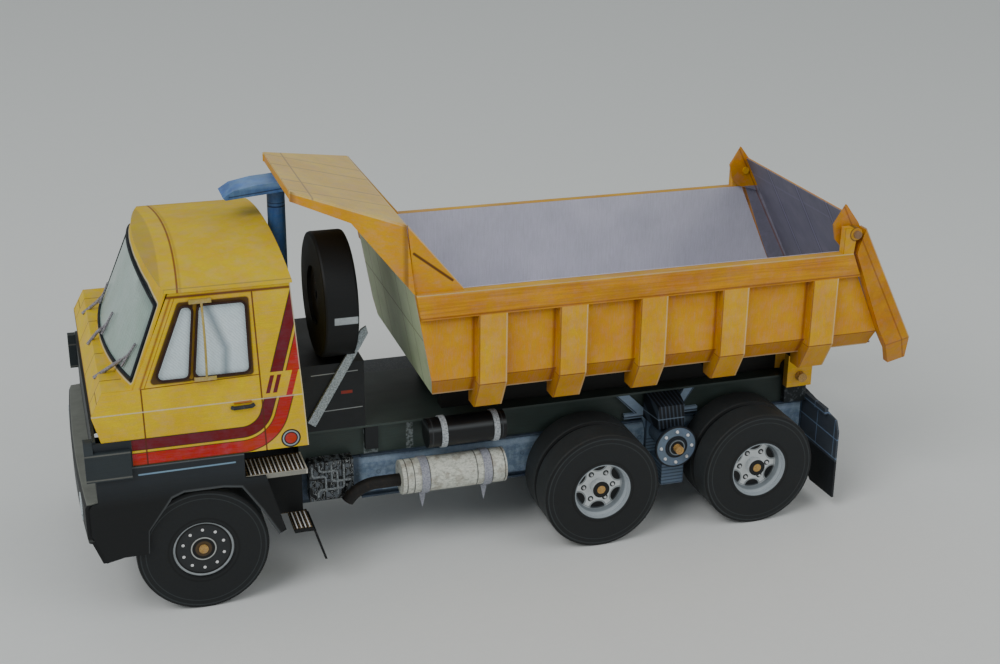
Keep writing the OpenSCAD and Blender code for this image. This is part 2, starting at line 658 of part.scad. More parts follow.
// A beam's lower end bends inwards like the posts' feet, a little steeper than the beam
beam_end = [202.3, 52.8];
beam_bevel = 8.6;
beam_tilt = 13;
ear_outline = [[hinge[0] - 1.9, 92.8], [hinge[0] - 5.3, 87.2], [hinge[0] - 4.4, 82.9],
  [hinge[0] - 2.2, 80.4], [hinge[0] + 5, 78.2], [hinge[0] + 6.4, 79.4], [hinge[0] + 2.2, 87.4]];
beam_outline = [[hinge[0] + 3, 86.6], [hinge[0] + 1.4, 82], [hinge[0] + 0.9, 79.2], [187.8, 66.9],
  [192.1, 56.3], [194.7, 51.4], [199.3, 43.1], [201, 40], [205.9, 40], [202.4, 52.8]];
module tailgate_beams() {
  color("orange") from_front_axle() both_sides() {
    difference() {
      across(ear_x[0], ear_x[1] + 0.1) polygon(ear_outline);
      rod(hinge_r + running_gap, ear_x[0] - 1, ear_x[1] + 1, hinge[0], hinge[1]);
    }
    intersection() {
      across(28, beam_x) polygon(beam_outline);
      translate([0, beam_end[0], beam_end[1]]) rotate([beam_tilt, 0, 0]) along(-20, 10)
        polygon([[ear_x[1], 50], [beam_x, 50], [beam_x, 0], [31.8, -beam_bevel],
          [29.4, -beam_bevel], [ear_x[1], -2.4]]);
    }
  }
}

// ---- Wheels ----
module tyre(w, bore_r) {
  shoulder = 0.7;
  rotate_extrude() polygon([[bore_r, 0], [tyre_r - shoulder, 0], [tyre_r - 0.2, 0.2], [tyre_r, shoulder],
    [tyre_r, w - shoulder], [tyre_r - 0.2, w - 0.2], [tyre_r - shoulder, w], [bore_r, w]]);
}
module wheel_place(y, face_x) {
  from_front_axle() translate([face_x, y, tyre_r]) rotate([0, -90, 0]) children();
}
module front_tyre() { color("#1c1d1f") wheel_place(0, front_face_x) tyre(front_tyre_w, front_rim_r); }
module front_wheel() {
  color("#2b2c2e") wheel_place(0, front_face_x) difference() {
    translate([0, 0, 0.8]) cylinder(h = front_tyre_w - 1.6, r = front_rim_r);
    translate([0, 0, 2]) difference() {
      cylinder(h = front_tyre_w - 4, r = front_rim_r - 1);
      cylinder(h = front_tyre_w - 4, r = 3);
    }
    translate([0, 0, -1]) cylinder(h = front_tyre_w + 2, r = dowel_r + running_gap);
  }
}
module twin_tyres(y) {
  color("#1c1d1f") wheel_place(y, rear_face_x) {
    tyre(rear_tyre_w, rear_rim_r);
    translate([0, 0, rear_tyre_w + twin_gap]) tyre(rear_tyre_w, rear_rim_r);
  }
}
module twin_wheel(y) {
  w = 2 * rear_tyre_w + twin_gap;
  dish = 3.8;
  color("whitesmoke") wheel_place(y, rear_face_x) difference() {
    cylinder(h = w - 0.8, r = rear_rim_r);
    rotate_extrude() polygon([[2.4, -1], [rear_rim_r - 0.3, -1], [rear_rim_r - 0.3, 0.6],
      [rear_rim_r - 1.4, dish], [2.4, dish]]);
    translate([0, 0, -1]) cylinder(h = 2.2, r = rear_rim_r - 0.3);
    translate([0, 0, dish + 1]) difference() {
      cylinder(h = w - dish - 2.8, r = rear_rim_r - 1);
      cylinder(h = w - dish - 2.8, r = 3);
    }
    translate([0, 0, -1]) cylinder(h = w + 2, r = dowel_r + running_gap);
  }
}
module front_left_tyre() { front_tyre(); }
module front_left_wheel() { front_wheel(); }
module front_right_tyre() { mirror([1, 0, 0]) front_tyre(); }
module front_right_wheel() { mirror([1, 0, 0]) front_wheel(); }
module middle_left_tyres() { twin_tyres(middle_axle_y); }
module middle_left_wheel() { twin_wheel(middle_axle_y); }
module middle_right_tyres() { mirror([1, 0, 0]) twin_tyres(middle_axle_y); }
module middle_right_wheel() { mirror([1, 0, 0]) twin_wheel(middle_axle_y); }
module rear_left_tyres() { twin_tyres(rear_axle_y); }
module rear_left_wheel() { twin_wheel(rear_axle_y); }
module rear_right_tyres() { mirror([1, 0, 0]) twin_tyres(rear_axle_y); }
module rear_right_wheel() { mirror([1, 0, 0]) twin_wheel(rear_axle_y); }

frame_rails();
subframe();
front_dowel();
rear_dowels();
axle_tubes();
trunnion_discs();
suspension_brackets();
spring_boxes();
rear_crossmember();
bed_pivot_pin();
cab_left_side();
cab_right_side();
cab_nose();
windscreen_frame();
windscreen();
side_windows();
cab_roof();
cab_back();
cab_floor();
mirror_arms();
bumper();
wheel_arches();
steps();
front_mudflaps();
snorkel_pipe();
snorkel_head();
spare_tyre();
spare_rim();
spare_box();
spare_struts();
valve_panel();
air_tank();
silencer();
tank_straps();
exhaust_pipe();
fuel_tank();
rear_mudflaps();
bed_floor();
bed_walls();
bed_front_wall();
bed_canopy();
bed_rails();
bed_posts();
bed_stringers();
tailgate_brackets();
tailgate_panel();
tailgate_beams();
front_left_tyre();
front_left_wheel();
front_right_tyre();
front_right_wheel();
middle_left_tyres();
middle_left_wheel();
middle_right_tyres();
middle_right_wheel();
rear_left_tyres();
rear_left_wheel();
rear_right_tyres();
rear_right_wheel();
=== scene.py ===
"""Finishes and trim for a 1:32 card model of a three-axle dump truck, laid out as an add-on."""

import math
from functools import reduce

import bmesh
import bpy
from bpy.props import FloatProperty, IntProperty, PointerProperty
from mathutils import Matrix, Vector


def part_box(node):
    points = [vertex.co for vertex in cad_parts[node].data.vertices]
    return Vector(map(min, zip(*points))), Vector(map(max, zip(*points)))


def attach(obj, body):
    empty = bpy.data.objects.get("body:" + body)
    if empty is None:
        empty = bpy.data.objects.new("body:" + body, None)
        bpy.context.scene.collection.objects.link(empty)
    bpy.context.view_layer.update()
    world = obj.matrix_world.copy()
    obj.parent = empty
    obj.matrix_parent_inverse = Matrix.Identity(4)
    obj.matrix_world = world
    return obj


bl_info = {
    "name": "Card Dump Truck",
    "version": (1, 0, 0),
    "blender": (4, 5, 0),
    "location": "View3D > Sidebar > Card Truck",
    "description": "Printed card finishes, small trim and a studio for a card model dump truck",
    "category": "Object",
}

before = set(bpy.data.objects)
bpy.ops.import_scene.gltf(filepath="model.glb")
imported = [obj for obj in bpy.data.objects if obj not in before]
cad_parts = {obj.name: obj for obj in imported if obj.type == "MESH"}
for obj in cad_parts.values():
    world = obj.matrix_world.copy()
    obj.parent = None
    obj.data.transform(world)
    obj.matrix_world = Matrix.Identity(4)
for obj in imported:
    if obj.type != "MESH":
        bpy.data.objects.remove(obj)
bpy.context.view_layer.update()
MM = 0.001

# Stations, in millimetres from the front axle along the truck, taken from the CAD parts
FRONT_AXLE = -sum(c.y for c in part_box("front_left_tyre")) / 2 / MM
AXLE_Z = sum(c.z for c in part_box("front_left_tyre")) / 2 / MM


def centre_of(node):
    """Station and height of a node's middle, in millimetres."""
    low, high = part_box(node)
    return (low.y + high.y) / 2 / MM + FRONT_AXLE, (low.z + high.z) / 2 / MM


MIDDLE_AXLE = centre_of("middle_left_wheel")[0]
REAR_AXLE = centre_of("rear_left_wheel")[0]
TRUNNION = centre_of("trunnion_discs")
CAB_HALF = 39.0
BELT_Z = 63.4
CREASE_Z = 57.6
LEAN = math.radians(4.91)
QUARTER_LIGHT = [(-9.1, 65.1), (-0.8, 65.1), (1.3, 83.3), (-1.6, 83.3)]
DOOR_LIGHT = [(0.4, 65.1), (14.1, 65.1), (14.0, 83.3), (2.5, 83.3)]
SCREEN_LOW, SCREEN_HIGH = (36.0, 65.2), (34.2, 82.9)    # x and z of the windscreen's corners
SPARE = (9.7, 72.95)                                    # x and z of the spare wheel's middle
POSTS = (77.6, 99.9, 122.7, 146.6, 173.9)               # stations of the bed's posts
LOAD_FLOOR_Z = 50.0
EVEN = (1, 1, 1)                                        # grain that favours no direction


def at(x, station, z):
    """A place given in millimetres, with a station, as a point of the scene."""
    return Vector((x * MM, (station - FRONT_AXLE) * MM, z * MM))


def on_side(station, z, out=0.0):
    """A point on the cab's left side, which leans in above the belt line."""
    up = max(0.0, z - BELT_Z)
    return at(CAB_HALF - up * math.sin(LEAN) + out, station, min(z, BELT_Z) + up * math.cos(LEAN))


def on_windscreen(x, z, out=0.0):
    """A point on the bowed windscreen."""
    slope = (14.3 - 4.2) / (86.7 - BELT_Z)
    bow = 5.7 * (1 - (x / CAB_HALF) ** 2)
    return at(x, -14.3 + (z - BELT_Z) * slope - bow - out, z)


def ink(code):
    """A hex colour as the linear colour a shader takes."""
    part = [int(code[i:i + 2], 16) / 255 for i in (0, 2, 4)]
    return [p / 12.92 if p < 0.04045 else ((p + 0.055) / 1.055) ** 2.4 for p in part] + [1.0]


# ---------------------------------------------------------------- shader maths

class Tree:
    """A node tree that takes any node through one method."""

    def node(self, kind, settings=None, inputs=None):
        """Adds a node, sets its settings and then gives its sockets values or links."""
        made = self.tree.nodes.new(kind)
        for key, value in (settings or {}).items():
            setattr(made, key, value)
        for key, value in (inputs or {}).items():
            value = value.socket if isinstance(value, Val) else value
            if isinstance(value, bpy.types.NodeSocket):
                self.tree.links.new(value, made.inputs[key])
            else:
                made.inputs[key].default_value = value
        return made


class Val:
    """A number in a shader. Its operators add Math nodes, also with a plain number on the left."""

    def __init__(self, sheet, socket):
        self.sheet, self.socket = sheet, socket

    def __add__(self, other):
        return self.sheet.math("ADD", self, other)

    def __sub__(self, other):
        return self.sheet.math("SUBTRACT", self, other)

    def __rsub__(self, other):
        return self.sheet.math("SUBTRACT", other, self)

    def __mul__(self, other):
        return self.sheet.math("MULTIPLY", self, other)

    def __abs__(self):
        return self.sheet.math("ABSOLUTE", self)

    __radd__, __rmul__ = __add__, __mul__

    def low(self, other):
        return self.sheet.math("MINIMUM", self, other)

    def high(self, other):
        return self.sheet.math("MAXIMUM", self, other)

    def wave(self):
        return self.sheet.math("SINE", self)

    def clamp(self):
        return self.sheet.math("ADD", self, 0.0, clamp=True)


def joined(masks):
    """1 where any of the masks is 1."""
    return reduce(Val.high, masks)


class Sheet(Tree):
    """A sheet of printed card: one material, with x, station y and z in millimetres."""

    def __init__(self, name):
        self.material = bpy.data.materials.new(name)
        self.material.use_nodes = True
        self.tree = self.material.node_tree
        self.tree.nodes.clear()
        self.shader = self.node("ShaderNodeBsdfPrincipled")
        self.node("ShaderNodeOutputMaterial", inputs={"Surface": self.shader.outputs[0]})
        place = self.node("ShaderNodeTexCoord").outputs["Object"]
        split = self.node("ShaderNodeSeparateXYZ", inputs={"Vector": place})
        self.x, self.y, self.z = (Val(self, s) * (1 / MM) for s in split.outputs)
        self.y = self.y + FRONT_AXLE

    def math(self, operation, *values, clamp=False):
        made = self.node("ShaderNodeMath", {"operation": operation, "use_clamp": clamp},
                         dict(enumerate(values)))
        return Val(self, made.outputs[0])

    def mix(self, under, over, mask):
        """Colour `over` printed on `under` where the mask is 1. A colour may be a hex code."""
        under, over = (ink(c) if isinstance(c, str) else c for c in (under, over))
        made = self.node("ShaderNodeMix", {"data_type": "RGBA"}, {0: mask, 6: under, 7: over})
        return made.outputs[2]

    def ground(self, under, over, mask):
        """Sets the sheet's first colour."""
        self.colour = self.mix(under, over, mask)

    def lay(self, over, mask):
        """Prints a colour over everything laid so far."""
        self.colour = self.mix(self.colour, over, mask)

    def noise(self, per_mm, stretch=EVEN, detail=2.0, rough=0.6):
        """Noise of a given fineness, drawn out along the axes whose stretch is small."""
        spot = self.node("ShaderNodeCombineXYZ", inputs={
            0: self.x * stretch[0], 1: self.y * stretch[1], 2: self.z * stretch[2]})
        made = self.node("ShaderNodeTexNoise", inputs={
            "Vector": spot.outputs[0], "Scale": per_mm, "Detail": detail, "Roughness": rough})
        return Val(self, made.outputs[0])

    # Masks, all in millimetres
    def above(self, value, level, soft=0.15):
        return self.math("MULTIPLY_ADD", value, 1 / soft, 0.5 - level / soft, clamp=True)

    def below(self, value, level, soft=0.15):
        return 1 - self.above(value, level, soft)

    def band(self, value, low, high, soft=0.15):
        return self.above(value, low, soft) * self.below(value, high, soft)

    def line(self, value, level, width=0.35, soft=0.15):
        return self.below(abs(value - level), width / 2, soft)

    def lines(self, value, levels, width=0.35, soft=0.15):
        """Several parallel lines."""
        return joined(self.line(value, level, width, soft) for level in levels)

    def reach(self, u, v, centre=(0.0, 0.0)):
        """Distance from a point."""
        spot = self.node("ShaderNodeCombineXYZ", inputs={0: u - centre[0], 1: v - centre[1]})
        made = self.node("ShaderNodeVectorMath", {"operation": "LENGTH"}, {0: spot.outputs[0]})
        return Val(self, made.outputs["Value"])

    def stroke(self, u, v, points, width=0.35, soft=0.15):
        """A drawn line through the points."""
        nearest = None
        for a, b in zip(points, points[1:]):
            du, dv = b[0] - a[0], b[1] - a[1]
            size = du * du + dv * dv
            along = ((u - a[0]) * (du / size) + (v - a[1]) * (dv / size)).clamp()
            gap = self.reach(u - along * du, v - along * dv, a)
            nearest = gap if nearest is None else nearest.low(gap)
        return self.below(nearest, width / 2, soft)

    def side_of(self, u, v, a, b):
        """Signed distance from the line a-b, positive to its left."""
        size = math.hypot(b[0] - a[0], b[1] - a[1])
        return (v - a[1]) * ((b[0] - a[0]) / size) - (u - a[0]) * ((b[1] - a[1]) / size)

    def turned(self, u, v, centre, count, turn=0.0):
        """Distance out and across within one of `count` equal sectors round a centre."""
        sector = 2 * math.pi / count
        angle = self.math("ARCTAN2", v - centre[1], u - centre[0])
        fold = self.math("PINGPONG", angle + (math.pi + turn), sector / 2)
        out = self.reach(u, v, centre)
        return out * self.math("COSINE", fold), out * self.math("SINE", fold)

    def finish(self, card_rough=0.62, pencil=(0.35, 0.16, 2.6), depth=1.0, hues=1.0):
        """Paper fibre, coloured-pencil grain and uneven ink over the colours laid."""
        fibre = self.noise(3.2, (1, 1, 1), 3.0, 0.7)
        strokes = self.noise(1.1, pencil, 2.0, 0.7)
        cloud = self.noise(0.09, (1, 1, 1), 3.0, 0.55)
        value = 1 + ((fibre - 0.5) * 0.34 + (strokes - 0.5) * 0.42 + (cloud - 0.5) * 0.34) * depth
        patch = self.noise(0.32, (1, 1, 1), 4.0, 0.65)
        toned = self.node("ShaderNodeHueSaturation", inputs={
            "Hue": 0.5 + ((cloud - 0.5) * 0.03 + (patch - 0.5) * 0.045) * hues,
            "Saturation": 1 + ((strokes - 0.5) * 0.3 + (patch - 0.5) * 0.35) * hues,
            "Value": value, "Color": self.colour})
        rough = card_rough + (fibre - 0.5) * 0.25 + (cloud - 0.5) * 0.15
        bump = self.node("ShaderNodeBump", inputs={
            "Strength": 0.35, "Distance": 0.00008, "Height": fibre * 0.7 + strokes * 0.3})
        for key, link in (("Base Color", toned.outputs[0]), ("Roughness", rough.socket),
                          ("Normal", bump.outputs[0])):
            self.tree.links.new(link, self.shader.inputs[key])
        self.shader.inputs["Specular IOR Level"].default_value = 0.35
        return self.material


# ---------------------------------------------------------------- printed sheets

GOLD, GOLD_LIGHT, GOLD_DARK = "dab41c", "e8ca48", "a07a1c"
ORANGE, ORANGE_LIGHT, ORANGE_DARK = "d4901c", "dcaa32", "905a18"
MAROON, RED, BROWN, DARK = "6c1520", "b3271a", "5c2410", "14110f"
BLACK, CHARCOAL, CHALK, SILVER = "0d0f11", "202326", "c9ccc9", "9aa3aa"
STEEL, STEEL_LIGHT, STEEL_DARK = "748aa4", "a9bdd2", "2a3442"
LAVENDER, LAVENDER_DARK, PALE_GREEN = "d3d2de", "bcbbca", "c6d4b4"
WORN = "cfc7ae"


def plain(name, colour, worn, **look):
    """Card of one colour, with rubbed patches of another."""
    s = Sheet(name)
    s.ground(colour, worn, s.band(s.noise(0.55, EVEN, 4.0, 0.75), 0.6, 0.95, 0.2) * 0.35)
    return s.finish(**look)


def cab_side_sheet():
    """Gold side with the two stripes, panel lines, window frames and the filler cap."""
    s = Sheet("cab_side_print")
    y, z = s.y, s.z
    z = z + (z - BELT_Z).high(0.0) * (1 / math.cos(LEAN) - 1)
    s.ground(GOLD, GOLD_LIGHT, s.band(z, 86.6, 88.2) * 0.8)
    # Stripes: level, round a bend and up to the roof
    theta, bend, level = math.radians(73.8), 8.5, 47.2
    cy, cz = 11.2, level + bend
    flat = z - level
    arc = bend - s.reach(y, z, (cy, cz))
    rise = bend - ((y - cy) * math.sin(theta) - (z - cz) * math.cos(theta))
    in_rise = s.above((y - cy) * math.cos(theta) + (z - cz) * math.sin(theta), 0, 0.05)
    past = s.above(y, cy, 0.05)
    d = flat + past * (arc + in_rise * (rise - arc) - flat)
    body = s.above(y, -15.8, 0.1) * s.below(z, 85.6, 0.1)
    gap = s.band(z, 57.8, 64.2, 0.1)
    whole = 1 - gap
    bars = s.band(d, 0.5, 1.5) + s.band(d, 2.2, 3.2)
    maroon = s.band(d, 0.4, 3.3) * whole + bars * s.band(z, 58.8, 63.4)
    red = s.band(d, -3.7, -0.4) * whole + s.band(d, -3.4, -1.9) * gap
    edges = (s.line(d, 0.4, 0.25) + s.line(d, 3.3, 0.3) + s.line(d, -0.4, 0.25)
             + s.line(d, -3.7, 0.3)) * whole
    for colour, mask, strength in ((MAROON, maroon, 1.0), (RED, red, 1.0), (DARK, edges, 0.8)):
        s.lay(colour, (mask * body).clamp() * strength)
    # Filler cap
    cap = s.reach(y, z, (23.4, 45.9))
    s.lay(DARK, s.below(cap, 2.5))
    s.lay(SILVER, s.band(cap, 1.75, 2.1))
    s.lay(RED, s.below(cap, 1.45))
    # Panel lines
    lines = joined([s.stroke(y, z, [(15.7, 85.6), (16.6, 57.8), (17.2, 43.4)], 0.4),
                    s.stroke(y, z, [(-12.5, 63.3), (-12.2, 43.2)], 0.4),
                    s.stroke(y, z, [(-12.3, 63.4), (16.5, 64.0)], 0.25),
                    s.stroke(y, z, [(-5.0, 85.6), (28, 85.6)], 0.7, 0.35)])
    s.lay(BROWN, lines * 0.9)
    pillar = joined([s.stroke(y, z, [(-12.6, 63.6), (-3.9, 85.2)], 0.5, 0.4),
                     s.stroke(y, z, [(-11.6, 63.6), (-2.9, 85.2)], 0.2)])
    s.lay("8a4a12", pillar * 0.8)
    # Window surrounds
    for shape in (QUARTER_LIGHT, DOOR_LIGHT):
        s.lay("3a1a0e", s.stroke(y, z, shape + shape[:1], 1.9, 0.35) * 0.92)
    # Vent bar between the lights
    s.lay(GOLD_DARK, s.stroke(y, z, [(-0.2, 65.1), (1.9, 83.3)], 0.9, 0.2))
    s.lay(WORN, s.line(z, CREASE_Z, 0.3, 0.2) * 0.75)
    s.lay(WORN, s.stroke(y, z, [(25.2, 86.7), (27.9, 43.4)], 0.5, 0.2) * 0.7)
    return s.finish()


def cab_nose_sheet():
    s = Sheet("cab_nose_print")
    x, y, z = abs(s.x), s.y, s.z
    s.ground(GOLD, GOLD_LIGHT, s.above(z, 57.6, 1.5) * 0.35)
    lines = joined([s.line(z, 57.5, 0.4), s.line(x, 30.5) * s.above(z, 50, 0.2),
                    s.line(x, 12) * s.above(z, 57.5, 0.2),
                    s.line(z, 60.6, 0.3) * s.above(x, 30.5, 0.2)])
    grille = s.band(x, -1, 24) * s.band(z, 51.6, 56.4)
    s.lay("3b2a12", grille * (0.35 + 0.6 * s.above((z * 7.2).wave(), 0.1, 0.4)))
    s.lay(BROWN, lines * 0.85)
    corner = s.stroke(y, z, [(-22.9, 50.6), (-24.7, 57.4), (-21.7, 63.4)], 0.5, 0.3)
    s.lay(WORN, corner * s.above(x, 38.3, 0.2) * 0.6)
    return s.finish(pencil=(0.16, 0.35, 2.6))


def windscreen_frame_sheet():
    s = Sheet("windscreen_frame_print")
    x, z = abs(s.x), s.z
    outline = [(0, SCREEN_LOW[1]), SCREEN_LOW, SCREEN_HIGH, (25.0, 84.9), (12.0, 86.1), (0.0, 86.5)]
    s.ground(GOLD, WORN, s.stroke(x, z, outline, 2.4, 0.3) * 0.8)
    s.lay("141b24", s.stroke(x, z, outline, 1.6, 0.3))
    return s.finish(pencil=(2.6, 0.3, 0.2))


def glass_sheet(name, colour, dark, slant):
    """A printed pane: pale wash under diagonal pencil hatching."""
    s = Sheet(name)
    x, y, z = s.x, s.y, s.z
    across = (y + x * 0.5) * slant + z
    hatch = s.above((across * 7.5 + s.noise(0.8) * 9).wave(), 0.2, 1.4)
    fade = s.noise(0.07, EVEN, 2.0)
    s.ground(colour, dark, (hatch * 0.42 * (fade * 1.6)).clamp())
    s.lay("e6eef0", s.above(fade, 0.55, 0.4) * 0.3)
    if name == "side_window_print":
        # Painted reflection of the mirror arm on the side pane
        arm_reflection = s.stroke(y, z, [(4.6, 83.0), (8.6, 71.5), (8.2, 65.4)], 1.7, 1.6)
        s.lay("63737f", arm_reflection * 0.7)
    else:
        edge = s.stroke(abs(x), z, [SCREEN_LOW, SCREEN_HIGH, (20, 85.6)], 3.4, 4.0)
        s.lay("3d4d52", edge * 0.6)
    m = s.finish(0.32, (1.6, 1.2, 0.5), 0.6)
    s.shader.inputs["Coat Weight"].default_value = 0.25
    s.shader.inputs["Coat Roughness"].default_value = 0.2
    return m


def cab_roof_sheet():
    s = Sheet("cab_roof_print")
    x, y = abs(s.x), s.y
    s.ground(GOLD, GOLD_LIGHT, s.noise(0.07) * 0.5)
    bow = y + x * x * 0.0012
    s.lay("7c3a18", s.line(bow, -0.4, 0.5, 0.25) * 0.9)
    s.lay(GOLD_DARK, s.line(bow, 0.3, 0.5, 0.6) * 0.5)
    s.lay("8a7a4c", s.line(x, 36.0, 0.45, 0.4) * 0.75)
    s.lay("8a7a4c", s.below(bow, -4.4, 0.4) * 0.4)
    return s.finish(pencil=(0.2, 0.2, 1), depth=0.7)


def bumper_sheet():
    """Black card, slate corner boxes, a worn ledge, and a grille and lamps panel in front."""
    s = Sheet("bumper_print")
    x, z = abs(s.x), s.z
    s.ground(BLACK, "2c3134", s.above(z, 34.2, 0.3) * 0.5)
    s.lay("3c474c", s.above(x, 35.9, 0.1) * s.above(z, 40.7, 0.1) * 0.3)
    edges = s.lines(z, (41.3, 47.9), 0.4) * s.above(x, 35.9, 0.1)
    s.lay("7c7b74", edges.high(s.stroke(x, z, [(36.4, 41), (36.4, 48.2)], 0.4)) * 0.5)
    s.lay("8f9289", s.line(z, 34.5, 0.7, 0.3) * 0.6)
    s.lay("6b6f6c", s.line(z, 24.2, 0.5, 0.4) * 0.4)
    slots = s.band(x, -1, 20) * s.band(z, 26.5, 31.5) * s.above((z * 3.4).wave(), 0.2, 0.5)
    s.lay("5c6468", slots * 0.7)
    return s.finish(0.55, depth=1.2)


def arch_sheet():
    s = Sheet("wheel_arch_print")
    y, z = s.y, s.z
    s.ground(BLACK, "2c3238", s.above(z, 36, 6) * 0.6)
    s.lay("7fa0b8", s.stroke(y, z, [(-14.6, 41.0), (9.0, 41.2)], 0.4, 0.2) * 0.9)
    s.lay("6f7476", s.line(z, 43.1, 0.35, 0.2) * 0.5)
    lip = s.stroke(y, z, [(-13.4, 19), (-13.0, 25), (-7, 33.6), (-4, 34.8), (6, 34.8), (10.4, 34.1),
                          (15.2, 26.9), (19.4, 19.4)], 0.7, 0.4)
    s.lay("5d6163", lip * 0.5)
    return s.finish(0.55)


def step_sheet():
    s = Sheet("step_print")
    x, y, z = abs(s.x), s.y, s.z
    top = s.above(z, 36.2, 0.1).high(s.band(z, 19.2, 19.6, 0.1))
    ribs = s.above((y * 8.4).wave(), -0.1, 0.5) * s.above((x * 4.2).wave(), -0.6, 0.5)
    s.ground(BLACK, "7c6644", top * ribs * 0.75)
    rims = s.line(x, 38.4, 0.4).high(s.line(y, 27.2, 0.5))
    s.lay("c9c6ba", rims * s.above(z, 35, 0.1) * 0.8)
    return s.finish()


def tyre_sheet(name, station):
    """Black card with faint rings on the side and a soft seam round the tread."""
    s = Sheet(name)
    r = s.reach(s.y, s.z, (station, AXLE_Z))
    s.ground(BLACK, "1d2022", s.band(r, 8.2, 16.2, 0.6) * 0.7)
    s.lay("3e4345", s.line(r, 15.9, 0.3).high(s.line(r, 14.6, 0.2)) * 0.55)
    s.lay("0b0c0d", s.line(r, 9.0, 0.5, 0.3) * 0.8)
    s.lay("5a5f60", s.line(r, 16.85, 0.18, 0.2) * 0.35)
    return s.finish(0.58, EVEN, 1.1)


def front_wheel_sheet():
    s = Sheet("front_wheel_print")
    y, z = s.y, s.z
    r = s.reach(y, z, (0, AXLE_Z))
    wobble = s.noise(0.35) * 0.5
    s.ground("1a1b1c", "34373a", s.band(r, 3.4, 7.0, 1.0) * 0.5)
    s.lay("b9c0c4", s.band(r, 7.15, 7.75, 0.2) * (0.55 + wobble))
    s.lay("0d0d0e", s.line(r, 7.0, 0.4, 0.15))
    s.lay(CHALK, s.line(r, 3.1, 0.3, 0.15) * 0.7)
    s.lay("0d0d0e", s.line(r, 2.5, 0.5, 0.2))
    s.lay("4c3b26", s.below(r, 2.1, 0.3))
    return s.finish(0.5, EVEN, 0.8)


def rear_wheel_sheet(name, station):
    """Silver rim rings round a white disc with six dark cut-outs and a black hub."""
    s = Sheet(name)
    x, y, z = abs(s.x), s.y, s.z
    r = s.reach(y, z, (station, AXLE_Z))
    deep = s.below(x, 33.6, 0.2)
    s.ground("aab2b8", "50575c", s.above((r * 5.5).wave(), 0.2, 0.6) * 0.6)
    out, side = s.turned(y, z, (station, AXLE_Z), 6, math.pi / 6)
    nut = s.reach(*s.turned(y, z, (station, AXLE_Z), 6), (4.3, 0.0))
    disc = s.below(r, 6.9, 0.1) * deep
    s.lay("dfe3e4", disc)
    gap = s.reach(out, side * 0.8, (6.5, 0.0))
    s.lay("121315", s.below(gap, 1.75, 0.2) * disc)
    s.lay("5d666c", ((s.line(gap, 1.95, 0.25) + s.line(r, 6.7, 0.25)) * disc).clamp() * 0.7)
    s.lay("16181a", s.line(nut, 0.62, 0.42, 0.15) * disc)
    s.lay("dfe3e4", s.below(r, 2.6, 0.1))
    s.lay("111213", s.below(r, 2.6, 0.1) * s.above(x, 35.4, 0.1))
    return s.finish(0.45, EVEN, 0.5)


def spare_rim_sheet():
    s = Sheet("spare_rim_print")
    r = s.reach(s.x, s.z, SPARE)
    s.ground("1c1d1e", "5a4e44", s.line(r, 3.2, 0.4).high(s.line(r, 4.6, 0.25)) * 0.6)
    s.lay("6f6a63", s.line(r, 6.2, 0.3).high(s.line(r, 7.3, 0.4)) * 0.5)
    return s.finish(0.5, EVEN)


def spare_tyre_sheet():
    s = Sheet("spare_tyre_print")
    r = s.reach(s.x, s.z, SPARE)
    s.ground(BLACK, "2b2f31", s.band(r, 8.2, 16.2, 0.6) * 0.6)
    s.lay("3e4345", s.line(r, 15.9, 0.3) * 0.5)
    strap = s.band(s.y, 38, 44.2) * s.band(s.z, 70, 72) * s.above(s.x, 24, 0.1)
    s.lay("a7afb3", strap)
    return s.finish(0.58, EVEN)


def frame_sheet():
    """Blue-grey mottled rails with dark edges and bolt rows drawn on."""
    s = Sheet("frame_print")
    y, z = s.y, s.z
    mottle = s.noise(0.5, EVEN, 4.0, 0.7)
    s.ground(STEEL, STEEL_LIGHT, s.band(mottle, 0.52, 0.8, 0.2) * 0.6)
    s.lay(STEEL_LIGHT, s.band(z, 24.6, 26.2, 0.4) * 0.5)
    s.lay(STEEL_DARK, s.above(z, 26.6, 0.2).high(s.below(z, 15.8, 0.4)) * 0.85)
    rivet = s.reach(s.math("PINGPONG", y, 3.0) - 3.0, z, (0, 21.5))
    s.lay(STEEL_DARK, s.line(rivet, 0.55, 0.2) * 0.5)
    s.lay(STEEL_DARK, s.below(y, 46, 1.5) * 0.75)
    return s.finish(0.6)


def deck_sheet():
    s = Sheet("deck_print")
    x, y, z = abs(s.x), s.y, s.z
    s.ground("262e2c", "4a5853", s.noise(0.12, (1, 0.4, 1)) * 0.8)
    patch = s.band(y, 47, 51).high(s.band(y, 59, 61)) * s.below(z, 36, 0.2)
    s.lay("8f9799", patch * s.above(s.noise(1.2), 0.5, 0.2) * 0.8)
    s.lay("4b5250", s.line(x, 17.8, 0.4, 0.3) * 0.5)
    return s.finish(0.45)


def speckled_sheet(name, light, dark, amount=0.5):
    """Card with a fine two-tone speckle."""
    s = Sheet(name)
    fleck = s.noise(2.4, EVEN, 3.0, 0.8)
    s.ground(light, dark, s.above(fleck, 0.62 - 0.2 * amount, 0.1) * 0.75)
    return s.finish(0.5, EVEN)


def silencer_sheet():
    s = Sheet("silencer_print")
    fleck = s.noise(1.6, (1, 0.5, 1), 4.0, 0.8)
    s.ground("d6d8cd", "85887f", s.above(fleck, 0.54, 0.12) * 0.55)
    s.lay("2c2c34", s.lines(s.y, (56.6, 58.6, 63.0, 76.4, 80.8, 84.4), 0.3) * 0.85)
    rust = s.band(s.noise(0.3, EVEN, 4.0), 0.55, 0.9, 0.1)
    s.lay("6b5238", rust * 0.35)
    return s.finish(0.5)


def strap_sheet():
    s = Sheet("strap_print")
    fleck = s.above(s.noise(2.2, EVEN, 3.0, 0.8), 0.52, 0.12)
    s.ground("b9bfc4", "4d5258", fleck * 0.6)
    s.lay("8d8a9c", s.below(s.z, 28.6, 0.5) * 0.5)
    return s.finish(0.45)


